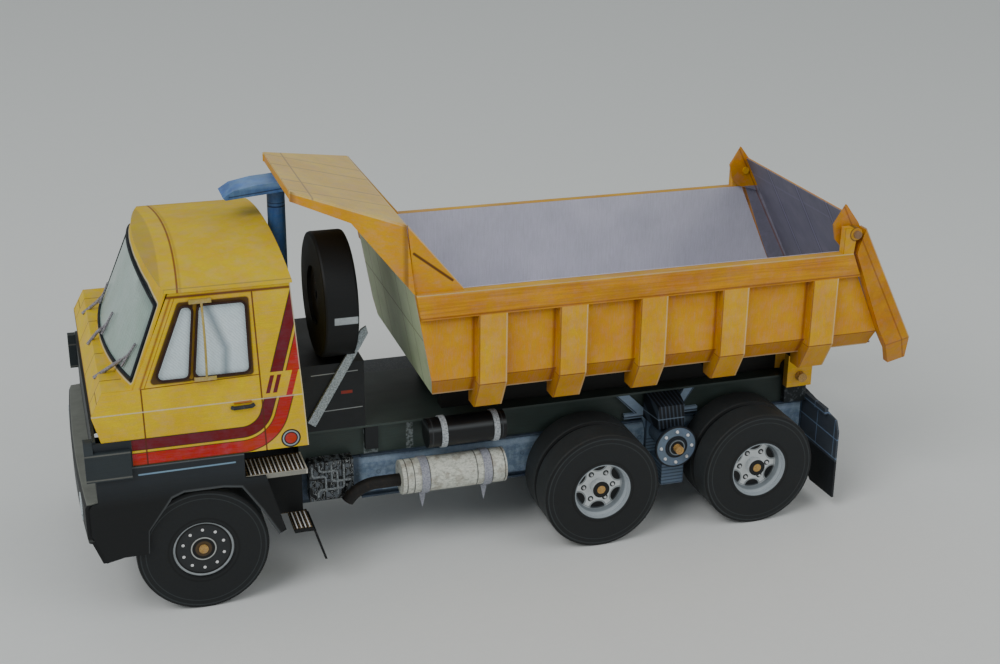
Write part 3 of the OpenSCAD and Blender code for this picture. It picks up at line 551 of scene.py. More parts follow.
def air_tank_sheet():
    s = Sheet("air_tank_print")
    around = s.side_of(s.x, s.z, (22.6, 34.6), (23.6, 34.6))
    s.ground("121315", "6a7074", s.line(around, 2.2, 0.5, 0.9) * 0.5)
    s.lay("3a3d40", s.lines(s.y, (64.0, 83.8), 0.3) * 0.8)
    return s.finish(0.38)


def trunnion_sheet():
    s = Sheet("trunnion_print")
    r = s.reach(s.y, s.z, TRUNNION)
    s.ground("2c3846", "75889b", s.band(r, 3.4, 5.9, 0.3) * 0.7)
    s.lay("14181d", s.line(r, 6.1, 0.45).high(s.line(r, 3.1, 0.5)))
    s.lay("1a1d20", s.below(r, 2.7, 0.2))
    s.lay("93a0ab", s.line(r, 2.2, 0.3) * 0.7)
    return s.finish(0.5, EVEN)


def bracket_sheet():
    """Pale blue arms with dark outlines, ribbed low down."""
    s = Sheet("bracket_print")
    y, z = s.y - TRUNNION[0], s.z
    s.ground("6b7f95", "9db2c6", s.above(z, 28, 2) * 0.6)
    arms = s.stroke(y, z, [(-14.0, 36.2), (-7.6, 30)], 0.4).high(
        s.stroke(y, z, [(10.2, 36.2), (6.3, 30)], 0.4))
    ribs = s.above((z * 6.0).wave(), 0.3, 0.4) * s.below(z, 22, 0.4)
    s.lay(STEEL_DARK, arms.high(s.line(z, 28.9, 0.5)) * 0.85)
    s.lay(STEEL_DARK, ribs * 0.6)
    s.lay(STEEL_DARK, s.line(abs(y), 4.3, 0.5) * 0.8)
    return s.finish(0.55)


def spring_sheet():
    s = Sheet("spring_box_print")
    leaf = s.above(((s.y + s.z * 0.15) * 5.4).wave(), 0.4, 0.4)
    s.ground("15181d", "59687a", leaf * 0.4)
    s.lay("93a6ba", s.lines(s.z, (31, 26), 0.3) * 0.5)
    return s.finish(0.55)


def spare_box_sheet():
    s = Sheet("spare_box_print")
    y, z = s.y, s.z
    s.ground("17191b", "2b2f33", s.noise(0.2) * 0.6)
    white = s.stroke(y, z, [(34.2, 42.4), (46.5, 42.7)], 0.22, 0.15).high(
        s.stroke(y, z, [(32.9, 53.1), (45.4, 53.4)], 0.22, 0.15))
    s.lay("b7bcbc", white * 0.7)
    s.lay("8f2f2a", s.band(y, 40.8, 43.9) * s.band(z, 47.0, 47.9))
    return s.finish(0.5)


def valve_sheet():
    s = Sheet("valve_panel_print")
    y, z = s.y, s.z
    lay = s.noise(0.5, (1, 1.5, 0.8), 1.0)
    s.ground("131518", "6f767d", s.above(lay, 0.54, 0.03) * 0.8)
    s.lay("c3c8ca", s.line(lay, 0.47, 0.02, 0.02) * 0.7)
    s.lay(BLACK, s.lines(y, (35.2, 40), 0.4).high(s.line(z, 23.4, 0.4)))
    return s.finish(0.5, EVEN)


def flap_sheet():
    """Framed panels above, plain dark card below."""
    s = Sheet("rear_flap_print")
    x, z = abs(s.x), s.z
    s.ground("1b1e22", "444c57", s.above(z, 15.5, 0.3) * 0.8)
    frames = s.lines(z, (16.4, 22.4, 28.6)).high(s.lines(x, (14.2, 24.2, 34.2)))
    s.lay("6f88a8", frames * s.above(z, 16.2, 0.1) * 0.8)
    return s.finish(0.55)


def snorkel_sheet():
    s = Sheet("snorkel_print")
    x, y, z = s.x, s.y, s.z
    shade = s.above(x + y * 0.4, 1.2, 6.0)
    s.ground("1c417c", "6a97d8", s.noise(0.4, (1, 1, 0.3)) * 0.9)
    s.lay("86aee0", s.above(z, 98.9, 0.8) * 0.5)
    s.lay("0d1c38", s.line(z, 92.6, 0.4, 0.2).high(s.line(z, 93.6, 0.2)) * 0.85)
    s.lay("0e1b33", (1 - shade) * s.below(z, 96, 0.2) * 0.2)
    slot = s.stroke(y, z, [(17, 97.0), (31, 98.4)], 0.3, 0.15)
    s.lay("0f2246", slot * 0.8)
    return s.finish(0.45)


def wood_sheet():
    """Dowel of pale wood: rings and pores on the sawn end, straight grain along it."""
    s = Sheet("dowel_wood")
    ring = s.noise(1.5, (0.15, 1, 1), 3.0)
    pores = s.noise(7.0, (0.4, 1, 1), 2.0)
    s.ground("c09a5e", "8c6434", s.above((ring * 40).wave(), 0.1, 0.9) * 0.6)
    s.lay("4e341a", s.above(pores, 0.6, 0.08) * 0.6)
    return s.finish(0.6, (0.2, 2, 2))


def inside_mask(s):
    """1 on the faces turned into the bed's load space."""
    x, z = abs(s.x), s.z
    inner, top = 33.7, 54.75    # inner face of the upright wall, and top of its slanted foot
    slant = s.side_of(x, z, (30.7, LOAD_FLOOR_Z), (inner, top))
    return s.below(x, inner, 0.1) * s.above(slant, 0.0, 0.1).high(s.above(z, top, 0.1)) \
        * s.above(z, LOAD_FLOOR_Z, 0.1)


def lavender(s):
    """The lavender-grey colour of the bed's inside."""
    return s.mix(LAVENDER, LAVENDER_DARK, s.noise(0.06) * 0.7)


def bed_wall_sheet():
    s = Sheet("bed_wall_print")
    y, z = s.y, s.z
    s.ground(ORANGE, ORANGE_LIGHT, s.noise(0.12, (1, 1, 0.5)) * 0.4)
    s.lay(ORANGE_DARK, s.below(z, 54.4, 0.5) * 0.5)
    s.lay(BROWN, s.line(z, 54.6, 0.35, 0.25) * 0.7)
    shade = joined(s.line(y, post - 4.6, 0.9, 0.7).high(s.line(y, post + 4.3, 0.35, 0.4) * 0.6)
                   for post in POSTS)
    s.lay("7a2f14", shade * 0.6)
    s.lay("7a4a16", s.above(z, 71.2, 1.6) * 0.55)
    s.lay(WORN, s.line(z, 49.8, 0.5, 0.3) * 0.45)
    s.lay(lavender(s), inside_mask(s))
    return s.finish(0.6, (0.35, 2.2, 0.2), 0.8)


def bed_inner_sheet():
    """The floor: lavender-grey above, orange below."""
    s = Sheet("bed_floor_print")
    s.ground(ORANGE_DARK, lavender(s), s.above(s.z, LOAD_FLOOR_Z, 0.1))
    return s.finish(0.6, (1, 0.3, 1), 0.6)


def bed_front_sheet():
    s = Sheet("bed_front_print")
    x, y, z = abs(s.x), s.y, s.z
    off = s.side_of(y, z, (57.5, 79.7), (62.8, 49.7))
    s.ground(PALE_GREEN, "7f9468", s.noise(0.1) * 0.6)
    ribs = s.lines(x, (11, 23), 0.4).high(s.line(z, 66, 0.4))
    s.lay("5f5c34", ribs * 0.7)
    s.lay(LAVENDER, s.above(off, 0.0, 0.1))
    return s.finish(0.6, (2, 0.4, 0.3), 0.8)


def canopy_sheet():
    """Pale yellow top with pencilled ribs, orange flange, orange below."""
    s = Sheet("bed_canopy_print")
    x, y, z = abs(s.x), s.y, s.z
    top = s.above(s.side_of(y, z, (28.9, 104.2), (55.3, 97.5)), 0.0, 0.15)
    s.ground(ORANGE, ORANGE_LIGHT, s.noise(0.1) * 0.6)
    s.lay("e0c583", top * s.below(x, 34.5, 4.0) * 0.85)
    fold = s.stroke(x, y, [(20.4, 29), (33, 43), (35, 55.3)], 0.5, 0.3)
    ribs = joined([s.line(x, 8, 0.5, 0.4), s.line(x, 18, 0.4, 0.4), s.line(y, 34, 0.4, 0.3)])
    s.lay("7d6a72", ribs * top * 0.6)
    s.lay("7c5a2a", fold * 0.7)
    slot = s.stroke(y, z, [(57, 90.5), (67, 82.6)], 0.7, 0.3)
    s.lay("4a200e", slot * s.above(x, 33.0, 0.2) * 0.9)
    worn = s.line(s.side_of(y, z, (55.3, 98.1), (70.4, 79.7)), 0.0, 0.35, 0.2)
    s.lay(WORN, worn * 0.5)
    return s.finish(0.6, (0.4, 0.25, 1.4), 0.8)


def rail_sheet():
    s = Sheet("bed_rail_print")
    z = s.z
    s.ground(ORANGE, ORANGE_LIGHT, s.above(z, 79.2, 0.2) * 0.8)
    streak = s.noise(0.8, (1, 0.05, 1.6), 3.0)
    s.lay(ORANGE_DARK, s.above(streak, 0.5, 0.2) * 0.35)
    s.lay("7a3d12", s.line(z, 73.2, 0.4, 0.4) * 0.7)
    s.lay(WORN, s.line(z, 79.5, 0.25, 0.2) * 0.5)
    return s.finish(0.58, (0.35, 0.06, 2.6))


def post_sheet():
    s = Sheet("bed_post_print")
    y, z = s.y, s.z
    s.ground(ORANGE_LIGHT, ORANGE, s.noise(0.2, (1, 2, 0.4)) * 0.8)
    shade, light = (s.lines(y, [post + edge for post in POSTS], 0.35, 0.3) for edge in (-3.7, 3.7))
    s.lay("6e3312", shade.high(s.line(z, 53.2, 0.35, 0.2)) * 0.8)
    s.lay(WORN, light * 0.5)
    s.lay(ORANGE_DARK, s.below(z, 53.0, 0.8) * 0.3)
    return s.finish(0.58, (1.4, 2.2, 0.25))


def tailgate_sheet():
    """Grey-purple inside with three printed ribs, orange outside."""
    s = Sheet("tailgate_print")
    x, y, z = abs(s.x), s.y, s.z
    off = s.side_of(y, z, (201.5, 50.8), (182.4, 89.0))
    inner = s.mix("6b6a78", "8a8894", s.noise(0.12) * 0.8)
    ribs = s.lines(x, (0, 18), 1.2, 0.3).high(s.line(z, 84, 0.6, 0.3))
    inner = s.mix(inner, "8c89a2", ribs * 0.4)
    inner = s.mix(inner, "2a2838", s.lines(x, (0.8, 17.2, 18.8), 0.25) * 0.8)
    outer = s.mix(ORANGE, "7a3d12", s.line(x, 16, 0.4).high(s.line(z, 70, 0.4)) * 0.7)
    s.ground(outer, inner, s.above(off, 0.0, 0.1))
    return s.finish(0.6, (1.5, 0.3, 0.3), 0.8)


def bracket_card_sheet():
    """Hinge brackets in light orange, with brown bolt ends."""
    s = Sheet("bracket_card")
    x, y, z = abs(s.x), s.y, s.z
    bolt = s.reach(y, z, (182, 85.2))
    s.ground(ORANGE_LIGHT, ORANGE, s.noise(0.2) * 0.6)
    s.lay(DARK, s.line(bolt, 1.9, 0.35, 0.2) * 0.7)
    s.lay("8a6c50", s.below(bolt, 1.85) * s.above(x, 36.45, 0.1))
    s.lay("6e3312", s.line(x, 36.2, 0.3, 0.2) * 0.5)
    return s.finish(0.58, (1.2, 0.4, 0.4))


def stringer_sheet():
    """Stringers in near-black card as painted shade under the bed, with yellow pivot ears."""
    s = Sheet("stringer_card")
    # Painted shade: the stringers are coloured near black for the shadow under the bed
    s.ground("171512", CHARCOAL, s.noise(0.3) * 0.5)
    s.lay(ORANGE_LIGHT, s.above(s.y, 173.0, 0.2) * s.below(s.z, 49.6, 0.2))
    return s.finish()


def beam_sheet():
    s = Sheet("tailgate_beam_print")
    x, y, z = abs(s.x), s.y, s.z
    s.ground(ORANGE, ORANGE_DARK, s.noise(0.2) * 0.5)
    s.lay("7d7b8a", s.below(x, 33.2, 0.1) * s.band(z, 52, 80))
    edge = s.side_of(y, z, (185, 86.6), (202.4, 52.8))
    s.lay(WORN, s.line(edge, 0.0, 0.5, 0.3) * 0.6)
    s.lay("7a3d12", s.line(edge, -2.4, 0.4, 0.3) * 0.6)
    s.lay("6e3312", s.line(x, 36.2, 0.3, 0.2) * 0.4)
    return s.finish(0.58, (1.2, 0.4, 0.4))


# For each CAD part: the function that prints its sheet, and what that is given
SHEETS = {
    "cab_left_side": (cab_side_sheet,),
    "cab_nose": (cab_nose_sheet,),
    "windscreen_frame": (windscreen_frame_sheet,),
    "windscreen": (glass_sheet, "windscreen_print", "9bb3a8", "5f7774", 0.55),
    "side_windows": (glass_sheet, "side_window_print", "d3e2e8", "93aab4", 1.0),
    "cab_roof": (cab_roof_sheet,),
    "cab_back": (plain, "cab_back_print", GOLD, GOLD_LIGHT),
    "cab_floor": (plain, "cab_floor_card", "8f7a35", WORN),
    "mirror_arms": (plain, "mirror_arm_card", "b09a52", WORN),
    "bumper": (bumper_sheet,),
    "wheel_arches": (arch_sheet,),
    "steps": (step_sheet,),
    "front_mudflaps": (plain, "flap_card", BLACK, CHARCOAL),
    "rear_mudflaps": (flap_sheet,),
    "snorkel_pipe": (snorkel_sheet,),
    "frame_rails": (frame_sheet,),
    "subframe": (deck_sheet,),
    "rear_crossmember": (plain, "crossmember_card", "23282b", SILVER),
    "front_dowel": (wood_sheet,),
    "axle_tubes": (plain, "axle_tube_card", CHARCOAL, STEEL),
    "trunnion_discs": (trunnion_sheet,),
    "suspension_brackets": (bracket_sheet,),
    "spring_boxes": (spring_sheet,),
    "spare_tyre": (spare_tyre_sheet,),
    "spare_rim": (spare_rim_sheet,),
    "spare_box": (spare_box_sheet,),
    "spare_struts": (speckled_sheet, "strut_print", "b4bec4", "6b757b"),
    "valve_panel": (valve_sheet,),
    "air_tank": (air_tank_sheet,),
    "silencer": (silencer_sheet,),
    "tank_straps": (strap_sheet,),
    "exhaust_pipe": (plain, "exhaust_card", "1c1a19", "4a3a2c"),
    "fuel_tank": (speckled_sheet, "fuel_tank_print", "3d4248", "5c646c", 0.3),
    "bed_floor": (bed_inner_sheet,),
    "bed_walls": (bed_wall_sheet,),
    "bed_front_wall": (bed_front_sheet,),
    "bed_canopy": (canopy_sheet,),
    "bed_rails": (rail_sheet,),
    "bed_posts": (post_sheet,),
    "bed_stringers": (stringer_sheet,),
    "tailgate_brackets": (bracket_card_sheet,),
    "tailgate_panel": (tailgate_sheet,),
    "tailgate_beams": (beam_sheet,),
    "front_left_tyre": (tyre_sheet, "front_tyre_print", 0.0),
    "middle_left_tyres": (tyre_sheet, "middle_tyre_print", MIDDLE_AXLE),
    "rear_left_tyres": (tyre_sheet, "rear_tyre_print", REAR_AXLE),
    "front_left_wheel": (front_wheel_sheet,),
    "middle_left_wheel": (rear_wheel_sheet, "middle_wheel_print", MIDDLE_AXLE),
    "rear_left_wheel": (rear_wheel_sheet, "rear_wheel_print", REAR_AXLE),
}
SAME_AS = {
    "cab_right_side": "cab_left_side", "snorkel_head": "snorkel_pipe",
    "rear_dowels": "front_dowel", "bed_pivot_pin": "front_dowel",
    "front_right_tyre": "front_left_tyre", "middle_right_tyres": "middle_left_tyres",
    "rear_right_tyres": "rear_left_tyres", "front_right_wheel": "front_left_wheel",
    "middle_right_wheel": "middle_left_wheel", "rear_right_wheel": "rear_left_wheel",
}


# ---------------------------------------------------------------- trim built by Geometry Nodes

class Growth(Tree):
    """A Geometry Nodes tree with named inputs, ending in Realize Instances and Set Material."""

    def __init__(self, name, inputs):
        self.tree = bpy.data.node_groups.new(name, "GeometryNodeTree")
        sockets = {"Geometry": "NodeSocketGeometry", **inputs, "Material": "NodeSocketMaterial"}
        for label, kind in sockets.items():
            self.tree.interface.new_socket(label, in_out="INPUT", socket_type=kind)
        self.tree.interface.new_socket("Geometry", in_out="OUTPUT",
                                       socket_type="NodeSocketGeometry")
        self.given = self.node("NodeGroupInput").outputs

    def out(self, kind, settings=None, inputs=None):
        """The first output of a new node."""
        return self.node(kind, settings, inputs).outputs[0]

    def close(self, shape):
        real = self.out("GeometryNodeRealizeInstances", inputs={0: shape})
        done = self.out("GeometryNodeSetMaterial", inputs={
            "Geometry": real, "Material": self.given["Material"]})
        self.node("NodeGroupOutput", inputs={0: done})
        return self.tree

    @staticmethod
    def grown(tree, points=((0, 0, 0),), closed=False, **values):
        """The mesh that a tree makes from a path of points with these inputs."""
        thing = bpy.data.objects.new("growing", path_mesh(points, closed))
        bpy.context.collection.objects.link(thing)
        grow = thing.modifiers.new("grow", "NODES")
        grow.node_group = tree
        for item in tree.interface.items_tree:
            label = item.name.replace(" ", "_")
            if item.in_out == "INPUT" and label in values:
                grow[item.identifier] = values[label]
        graph = bpy.context.evaluated_depsgraph_get()
        made = bpy.data.meshes.new_from_object(thing.evaluated_get(graph))
        bpy.data.objects.remove(thing)
        return made


def bolt_tree():
    """Domed bolts on a circle in the truck's lengthwise upright plane."""
    g = Growth("bolt_circle", {
        "Count": "NodeSocketInt", "Ring Radius": "NodeSocketFloat",
        "Bolt Radius": "NodeSocketFloat", "Height": "NodeSocketFloat",
        "Turn": "NodeSocketFloat", "Centre": "NodeSocketVector"})
    ring = g.out("GeometryNodeMeshCircle", inputs={
        "Vertices": g.given["Count"], "Radius": g.given["Ring Radius"]})
    head = g.out("GeometryNodeMeshCone", inputs={
        "Vertices": 10, "Side Segments": 1, "Radius Bottom": g.given["Bolt Radius"],
        "Radius Top": g.out("ShaderNodeMath", {"operation": "MULTIPLY"}, {
            0: g.given["Bolt Radius"], 1: 0.72}), "Depth": g.given["Height"]})
    spread = g.out("GeometryNodeInstanceOnPoints", inputs={"Points": ring, "Instance": head})
    upright = g.out("GeometryNodeTransform", inputs={
        "Geometry": spread, "Rotation": (0.0, math.pi / 2, 0.0)})
    turn = g.out("ShaderNodeCombineXYZ", inputs={0: g.given["Turn"]})
    placed = g.out("GeometryNodeTransform", inputs={
        "Geometry": upright, "Rotation": turn, "Translation": g.given["Centre"]})
    return g.close(placed)


def tube_tree():
    """A round or square rod along the edges of the input mesh, with rounded corners."""
    g = Growth("rod_on_path", {
        "Radius": "NodeSocketFloat", "Sides": "NodeSocketInt", "Fillet": "NodeSocketFloat"})
    path = g.out("GeometryNodeMeshToCurve", inputs={"Mesh": g.given["Geometry"]})
    eased = g.out("GeometryNodeFilletCurve", {"mode": "POLY"}, {
        "Curve": path, "Count": 4, "Radius": g.given["Fillet"], "Limit Radius": True})
    ring = g.out("GeometryNodeCurvePrimitiveCircle", {"mode": "RADIUS"}, {
        "Resolution": g.given["Sides"], "Radius": g.given["Radius"]})
    rod = g.out("GeometryNodeCurveToMesh", inputs={
        "Curve": eased, "Profile Curve": ring, "Fill Caps": True})
    return g.close(rod)


def rib_tree():
    """Equal low ribs set out in a row."""
    g = Growth("rib_row", {
        "Count": "NodeSocketInt", "Start": "NodeSocketVector", "Step": "NodeSocketVector",
        "Size": "NodeSocketVector"})
    row = g.out("GeometryNodeMeshLine", {"mode": "OFFSET"}, {
        "Count": g.given["Count"], "Start Location": g.given["Start"],
        "Offset": g.given["Step"]})
    rib = g.out("GeometryNodeMeshCube", inputs={"Size": g.given["Size"]})
    return g.close(g.out("GeometryNodeInstanceOnPoints", inputs={
        "Points": row, "Instance": rib}))


def path_mesh(points, closed=False):
    mesh = bpy.data.meshes.new("path")
    edges = [(i, i + 1) for i in range(len(points) - 1)]
    mesh.from_pydata(points, edges + ([(len(points) - 1, 0)] if closed else []), [])
    return mesh


def rod(points, radius, fillet, paint, sides=6, closed=False):
    """A rod along the points, in metres."""
    return Growth.grown(tube_tree(), points, closed, Radius=radius, Sides=sides, Fillet=fillet,
                        Material=paint)


def rib_row(count, start, step, size, paint):
    """Equal ribs, the first at `start` and each next one a step further."""
    return Growth.grown(rib_tree(), Count=count, Start=start, Step=Vector(step),
                        Size=Vector(size), Material=paint)


def mirrored(mesh):
    """A copy of a mesh on the truck's other side."""
    other = mesh.copy()
    other.transform(Matrix.Diagonal((-1, 1, 1, 1)))
    return other


def both_sides(*meshes):
    """The meshes, and their copies on the truck's other side."""
    return [*meshes, *(mirrored(mesh) for mesh in meshes)]


def piece(name, meshes, body):
    """One finished object from several meshes, riding on a body."""
    whole = bmesh.new()
    for mesh in meshes:
        whole.from_mesh(mesh)
    bmesh.ops.remove_doubles(whole, verts=whole.verts, dist=1e-7)
    bmesh.ops.recalc_face_normals(whole, faces=whole.faces)
    made = bpy.data.meshes.new(name)
    whole.to_mesh(made)
    whole.free()
    made.materials.append(meshes[0].materials[0])
    for face in made.polygons:
        face.material_index = 0
    thing = bpy.data.objects.new(name, made)
    bpy.context.collection.objects.link(thing)
    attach(thing, body)
    return thing


# ---------------------------------------------------------------- settings

class BoltSettings(bpy.types.PropertyGroup):
    dots: IntProperty(name="Front dots", description="Dots round the front wheel disc", default=10)
    dot_ring: FloatProperty(name="Dot circle", description="Radius of the front dot circle",
                            default=0.0054, unit="LENGTH")
    dot_radius: FloatProperty(name="Dot radius", description="Radius of a front dot",
                              default=0.00042, unit="LENGTH")
    nuts: IntProperty(name="Rear nuts", description="Nuts round a twin wheel's hub", default=6)
    nut_ring: FloatProperty(name="Nut circle", description="Radius of the nut circle",
                            default=0.0043, unit="LENGTH")
    trunnion_bolts: IntProperty(name="Trunnion bolts", description="Bolts round a trunnion disc",
                                default=8)
    trunnion_ring: FloatProperty(name="Trunnion circle", description="Radius of the bolt circle",
                                 default=0.0047, unit="LENGTH")


class TrimSettings(bpy.types.PropertyGroup):
    gasket: FloatProperty(name="Gasket radius", description="Radius of the window gaskets",
                          default=0.00032, unit="LENGTH")
    wiper: FloatProperty(name="Wiper radius", description="Radius of the wiper arms",
                         default=0.00042, unit="LENGTH")
    lamp: FloatProperty(name="Lamp radius", description="Radius of a head lamp", default=0.0034,
                        unit="LENGTH")
    step_ribs: IntProperty(name="Step ribs", description="Ribs on the upper step", default=13)


class StageSettings(bpy.types.PropertyGroup):
    floor: FloatProperty(name="Floor radius", description="Radius of the pale floor", default=6.0,
                         unit="LENGTH")
    key: FloatProperty(name="Key light", description="Power of the large soft light", default=6.0,
                       unit="POWER")
    fill: FloatProperty(name="Fill light", description="Power of the soft fill", default=2.2,
                        unit="POWER")
    sky: FloatProperty(name="Surround", description="Strength of the pale surround", default=0.55)
    lens: FloatProperty(name="Lens", description="Focal length in millimetres", default=54.654)


# ---------------------------------------------------------------- operators

class CARDTRUCK_OT_finishes(bpy.types.Operator):
    """Print the card finishes on every CAD part"""
    bl_idname = "cardtruck.finishes"
    bl_label = "Card finishes"

    def execute(self, context):
        made = {name: build(*given) for name, (build, *given) in SHEETS.items()}
        for name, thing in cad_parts.items():
            source = SAME_AS.get(name, name)
            if source not in made:
                raise ValueError(f"no finish for {name}")
            for place in thing.material_slots:
                place.link = "OBJECT"
                place.material = made[source]
        return {"FINISHED"}


class CARDTRUCK_OT_wheel_bolts(bpy.types.Operator):
    """Dots on the front wheel discs and nuts on the twin wheels"""
    bl_idname = "cardtruck.wheel_bolts"
    bl_label = "Wheel bolts"

    def execute(self, context):
        look = context.scene.card_bolts
        dots = {"Count": look.dots, "Ring_Radius": look.dot_ring, "Bolt_Radius": look.dot_radius,
                "Height": 0.00012, "Turn": 0.0, "Material": plain("dot_paint", "dcdedb", SILVER)}
        nuts = {"Count": look.nuts, "Ring_Radius": look.nut_ring, "Bolt_Radius": 0.00042,
                "Height": 0.0004, "Turn": math.pi / 6,
                "Material": plain("nut_paint", "a4abb0", SILVER)}
        for axle, station, face, given, card in (
                ("front", 0.0, 37.2, dots, "black_wheel_card"),
                ("middle", MIDDLE_AXLE, 33.1, nuts, "white_wheel_card"),
                ("rear", REAR_AXLE, 33.1, nuts, "white_wheel_card")):
            centre = at(face, station, AXLE_Z) + Vector((given["Height"] * 0.45, 0, 0))
            mesh = Growth.grown(bolt_tree(), Centre=centre, **given)
            piece(f"{axle}_left_bolts", [mesh], f"{axle}_left")
            piece(f"{axle}_right_bolts", [mirrored(mesh)], f"{axle}_right")
        return {"FINISHED"}


class CARDTRUCK_OT_frame_bolts(bpy.types.Operator):
    """Bolts round the trunnion discs"""
    bl_idname = "cardtruck.frame_bolts"
    bl_label = "Trunnion bolts"

    def execute(self, context):
        look = context.scene.card_bolts
        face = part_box("trunnion_discs")[1].x / MM - 0.5
        mesh = Growth.grown(
            bolt_tree(), Count=look.trunnion_bolts, Ring_Radius=look.trunnion_ring,
            Bolt_Radius=0.0005, Height=0.0004, Turn=0.0, Centre=at(face, *TRUNNION),
            Material=plain("trunnion_bolt", STEEL_DARK, SILVER))
        piece("trunnion_bolts", both_sides(mesh), "chassis")
        return {"FINISHED"}


class CARDTRUCK_OT_gaskets(bpy.types.Operator):
    """Gaskets round the windscreen and the side windows"""
    bl_idname = "cardtruck.gaskets"
    bl_label = "Window gaskets"

    def execute(self, context):
        radius = context.scene.card_trim.gasket
        dark = plain("side_gasket", "2c140c", "5a3a26")
        sides = [rod([on_side(y, z, 0.08) for y, z in shape], radius, 0.0014, dark, closed=True)
                 for shape in (QUARTER_LIGHT, DOOR_LIGHT)]
        piece("side_gaskets", both_sides(*sides), "chassis")
        (low_x, low_z), (high_x, high_z) = SCREEN_LOW, SCREEN_HIGH
        steps, crown = 12, 3.5
        across = [2 * i / steps - 1 for i in range(steps + 1)]
        rim = [on_windscreen(-low_x * u, low_z, 0.1) for u in across]
        rim += [on_windscreen(high_x * u, high_z + crown * (1 - u * u), 0.1) for u in across]
        screen = rod(rim, radius * 1.3, 0.0012, plain("screen_gasket", "10161e", "3c4650"),
                     closed=True)
        piece("windscreen_gasket", [screen], "chassis")
        return {"FINISHED"}


class CARDTRUCK_OT_wipers(bpy.types.Operator):
    """Three silver-grey wipers on the windscreen"""
    bl_idname = "cardtruck.wipers"
    bl_label = "Wipers"

    def execute(self, context):
        radius = context.scene.card_trim.wiper
        paint = speckled_sheet("wiper_print", "9c98a0", "4a464e")
        meshes = []
        for foot in (-22.0, 1.5, 25.0):     # x of each wiper's pivot, in millimetres
            knee = on_windscreen(foot + 3.0, 67.4, 0.7)
            arm = [at(foot, -22.8, 62.2), on_windscreen(foot + 1.0, 65.6, 1.2), knee]
            blade = [on_windscreen(foot + 4.6, 66.4, 0.6), on_windscreen(foot + 5.6, 69.5, 0.5),
                     on_windscreen(foot + 7.4, 73.0, 0.6)]
            link = [knee, on_windscreen(foot + 6.0, 69.9, 0.6)]
            meshes += [rod(path, radius * width, 0.0008, paint)
                       for path, width in ((arm, 1.2), (blade, 0.8), (link, 0.7))]
        piece("wipers", meshes, "chassis")
        return {"FINISHED"}


class CARDTRUCK_OT_handles(bpy.types.Operator):
    """Door handles: a dark grip with an orange strip above it"""
    bl_idname = "cardtruck.handles"
    bl_label = "Door handles"

    def execute(self, context):
        grip = rod([on_side(8.9, 56.2, 0.1), on_side(9.6, 56.0, 0.45), on_side(13.9, 56.1, 0.45),
                    on_side(14.6, 56.4, 0.1)], 0.00052, 0.0004,
                   plain("handle_grip", "2b2d30", "8d9296"), sides=8)
        piece("door_grips", both_sides(grip), "chassis")
        strip = rod([on_side(9.6, 57.2, 0.02), on_side(14.0, 57.3, 0.02)], 0.0003, 0.0,
                    plain("handle_strip", "a8661c", ORANGE))
        piece("door_strips", both_sides(strip), "chassis")
        return {"FINISHED"}


class CARDTRUCK_OT_lamps(bpy.types.Operator):
    """Head lamps with ribbed lenses and a blank plate on the bumper"""
    bl_idname = "cardtruck.lamps"
    bl_label = "Lamps and plate"

    def execute(self, context):
        radius = context.scene.card_trim.lamp
        glass = speckled_sheet("lamp_print", "c9d3d6", "6b767c", 0.3)
        points = 20
        turns = [2 * math.pi * k / points for k in range(points)]
        meshes = []
        for i, size in enumerate((1.0, 0.72, 0.42)):
            ring = [at(28, -28.75, 28.9) + Vector((
                radius * size * math.cos(a), -0.00003 * i, radius * size * math.sin(a)))
                    for a in turns]
            meshes.append(rod(ring, 0.0003, 0.0, glass, closed=True))
        piece("lamp_rings", both_sides(*meshes), "chassis")
        rows = rib_row(5, at(0, -28.15, 22.4), (0, 0.00041, -0.0011), (0.017, 0.0003, 0.0012),
                       plain("plate_card", "c4c2b4", WORN))
        piece("blank_plate", [rows], "chassis")
        return {"FINISHED"}


class CARDTRUCK_OT_step_ribs(bpy.types.Operator):
    """Ribs across the cab steps"""
    bl_idname = "cardtruck.step_ribs"
    bl_label = "Step ribs"

    def execute(self, context):
        count = context.scene.card_trim.step_ribs
        paint = plain("rib_print", "6a5738", "a08a5c")
        step, size = (0, 0.0011, 0), (0.0088, 0.00028, 0.0002)
        upper = rib_row(count, at(33.6, 13.0, 36.45), step, size, paint)
        lower = rib_row(4, at(33.6, 24.2, 19.45), step, size, paint)
        piece("step_ribs", both_sides(upper, lower), "chassis")
        return {"FINISHED"}


class CARDTRUCK_OT_pipes(bpy.types.Operator):
    """Pale air pipes on the valve panel behind the cab"""
    bl_idname = "cardtruck.pipes"
    bl_label = "Valve pipes"

    def execute(self, context):
        paint = speckled_sheet("pipe_print", "9aa0a4", "4c5258")
        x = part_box("valve_panel")[1].x / MM + 0.1
        runs = [[(31.6, 27.4), (31.6, 24.2), (35.4, 24.2), (35.4, 19.6)],
                [(33.6, 27.6), (33.6, 25.6), (38.6, 25.6), (38.6, 18.6)],
                [(37.0, 27.6), (37.0, 22.4), (42.4, 22.4)],
                [(40.4, 27.4), (40.4, 20.2), (33.2, 20.2), (33.2, 18.2)]]
        meshes = [rod([at(x, y, z) for y, z in run], 0.00034, 0.0009, paint, sides=8)
                  for run in runs]
        piece("valve_pipes", meshes, "chassis")
        return {"FINISHED"}


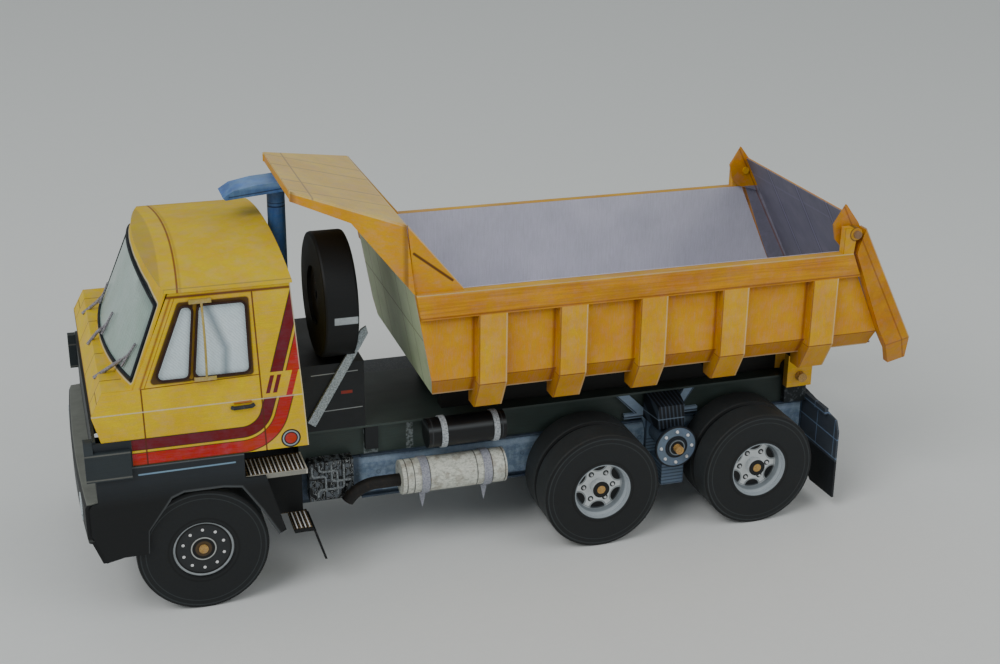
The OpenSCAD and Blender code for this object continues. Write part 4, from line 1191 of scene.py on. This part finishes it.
class CARDTRUCK_OT_stage(bpy.types.Operator):
    """Pale floor, soft lights, pale surround and the camera"""
    bl_idname = "cardtruck.stage"
    bl_label = "Stage"

    def execute(self, context):
        look = context.scene.card_stage
        floor = bmesh.new()
        bmesh.ops.create_circle(floor, cap_ends=True, segments=64, radius=look.floor)
        mesh = bpy.data.meshes.new("floor")
        floor.to_mesh(mesh)
        floor.free()
        mesh.materials.append(plain("floor_paper", "eceeed", "f2f3f1", depth=0.05,
                                    hues=0.0))
        ground = bpy.data.objects.new("floor", mesh)
        context.collection.objects.link(ground)
        for name, power, size, spot in (
                ("key", look.key, 0.7, (0.55, -0.75, 0.95)),
                ("fill", look.fill, 0.9, (0.75, 0.65, 0.6))):
            light = bpy.data.lights.new(name, "AREA")
            light.shape, light.size, light.energy = "DISK", size, power
            lamp = bpy.data.objects.new(name, light)
            lamp.location = spot
            aim = Vector((0, 0, 0.04)) - Vector(spot)
            lamp.rotation_euler = aim.to_track_quat("-Z", "Y").to_euler()
            context.collection.objects.link(lamp)
        world = bpy.data.worlds.new("surround")
        world.use_nodes = True
        back = world.node_tree.nodes["Background"]
        back.inputs["Color"].default_value = ink("e3e8e8")
        back.inputs["Strength"].default_value = look.sky
        context.scene.world = world
        lens = bpy.data.cameras.new("camera")
        lens.lens, lens.sensor_width = look.lens, 36
        lens.clip_start, lens.clip_end = 0.01, 50
        camera = bpy.data.objects.new("camera", lens)
        turn, lift, roll = (math.radians(angle) for angle in (72.164, 21.395, 0.604))
        away = Vector((math.sin(turn) * math.cos(lift), -math.cos(turn) * math.cos(lift),
                       math.sin(lift)))
        right = Vector((math.cos(turn), math.sin(turn), 0))
        up = away.cross(right)
        axes = (right * math.cos(roll) + up * math.sin(roll),
                up * math.cos(roll) - right * math.sin(roll), away)
        matrix = Matrix(axes).transposed().to_4x4()
        matrix.translation = at(385.592, -32.963, 211.284)
        camera.matrix_world = matrix
        context.collection.objects.link(camera)
        context.scene.camera = camera
        return {"FINISHED"}


OPERATORS = (
    CARDTRUCK_OT_finishes, CARDTRUCK_OT_wheel_bolts, CARDTRUCK_OT_frame_bolts,
    CARDTRUCK_OT_gaskets, CARDTRUCK_OT_wipers, CARDTRUCK_OT_handles,
    CARDTRUCK_OT_lamps, CARDTRUCK_OT_step_ribs, CARDTRUCK_OT_pipes, CARDTRUCK_OT_stage)


class CARDTRUCK_PT_panel(bpy.types.Panel):
    """Sidebar panel with one button for each piece"""
    bl_idname = "CARDTRUCK_PT_panel"
    bl_label = "Card Truck"
    bl_space_type = "VIEW_3D"
    bl_region_type = "UI"
    bl_category = "Card Truck"

    def draw(self, context):
        for operator in OPERATORS:
            self.layout.operator(operator.bl_idname)


SETTINGS = {"card_bolts": BoltSettings, "card_trim": TrimSettings, "card_stage": StageSettings}


def register():
    for group in (*SETTINGS.values(), *OPERATORS, CARDTRUCK_PT_panel):
        bpy.utils.register_class(group)
    for name, group in SETTINGS.items():
        setattr(bpy.types.Scene, name, PointerProperty(type=group))


def unregister():
    for name in SETTINGS:
        delattr(bpy.types.Scene, name)
    for group in (CARDTRUCK_PT_panel, *reversed(OPERATORS), *SETTINGS.values()):
        bpy.utils.unregister_class(group)


def main():
    register()
    for operator in OPERATORS:
        family, name = operator.bl_idname.split(".")
        getattr(getattr(bpy.ops, family), name)()


if __name__ == "__main__":
    main()
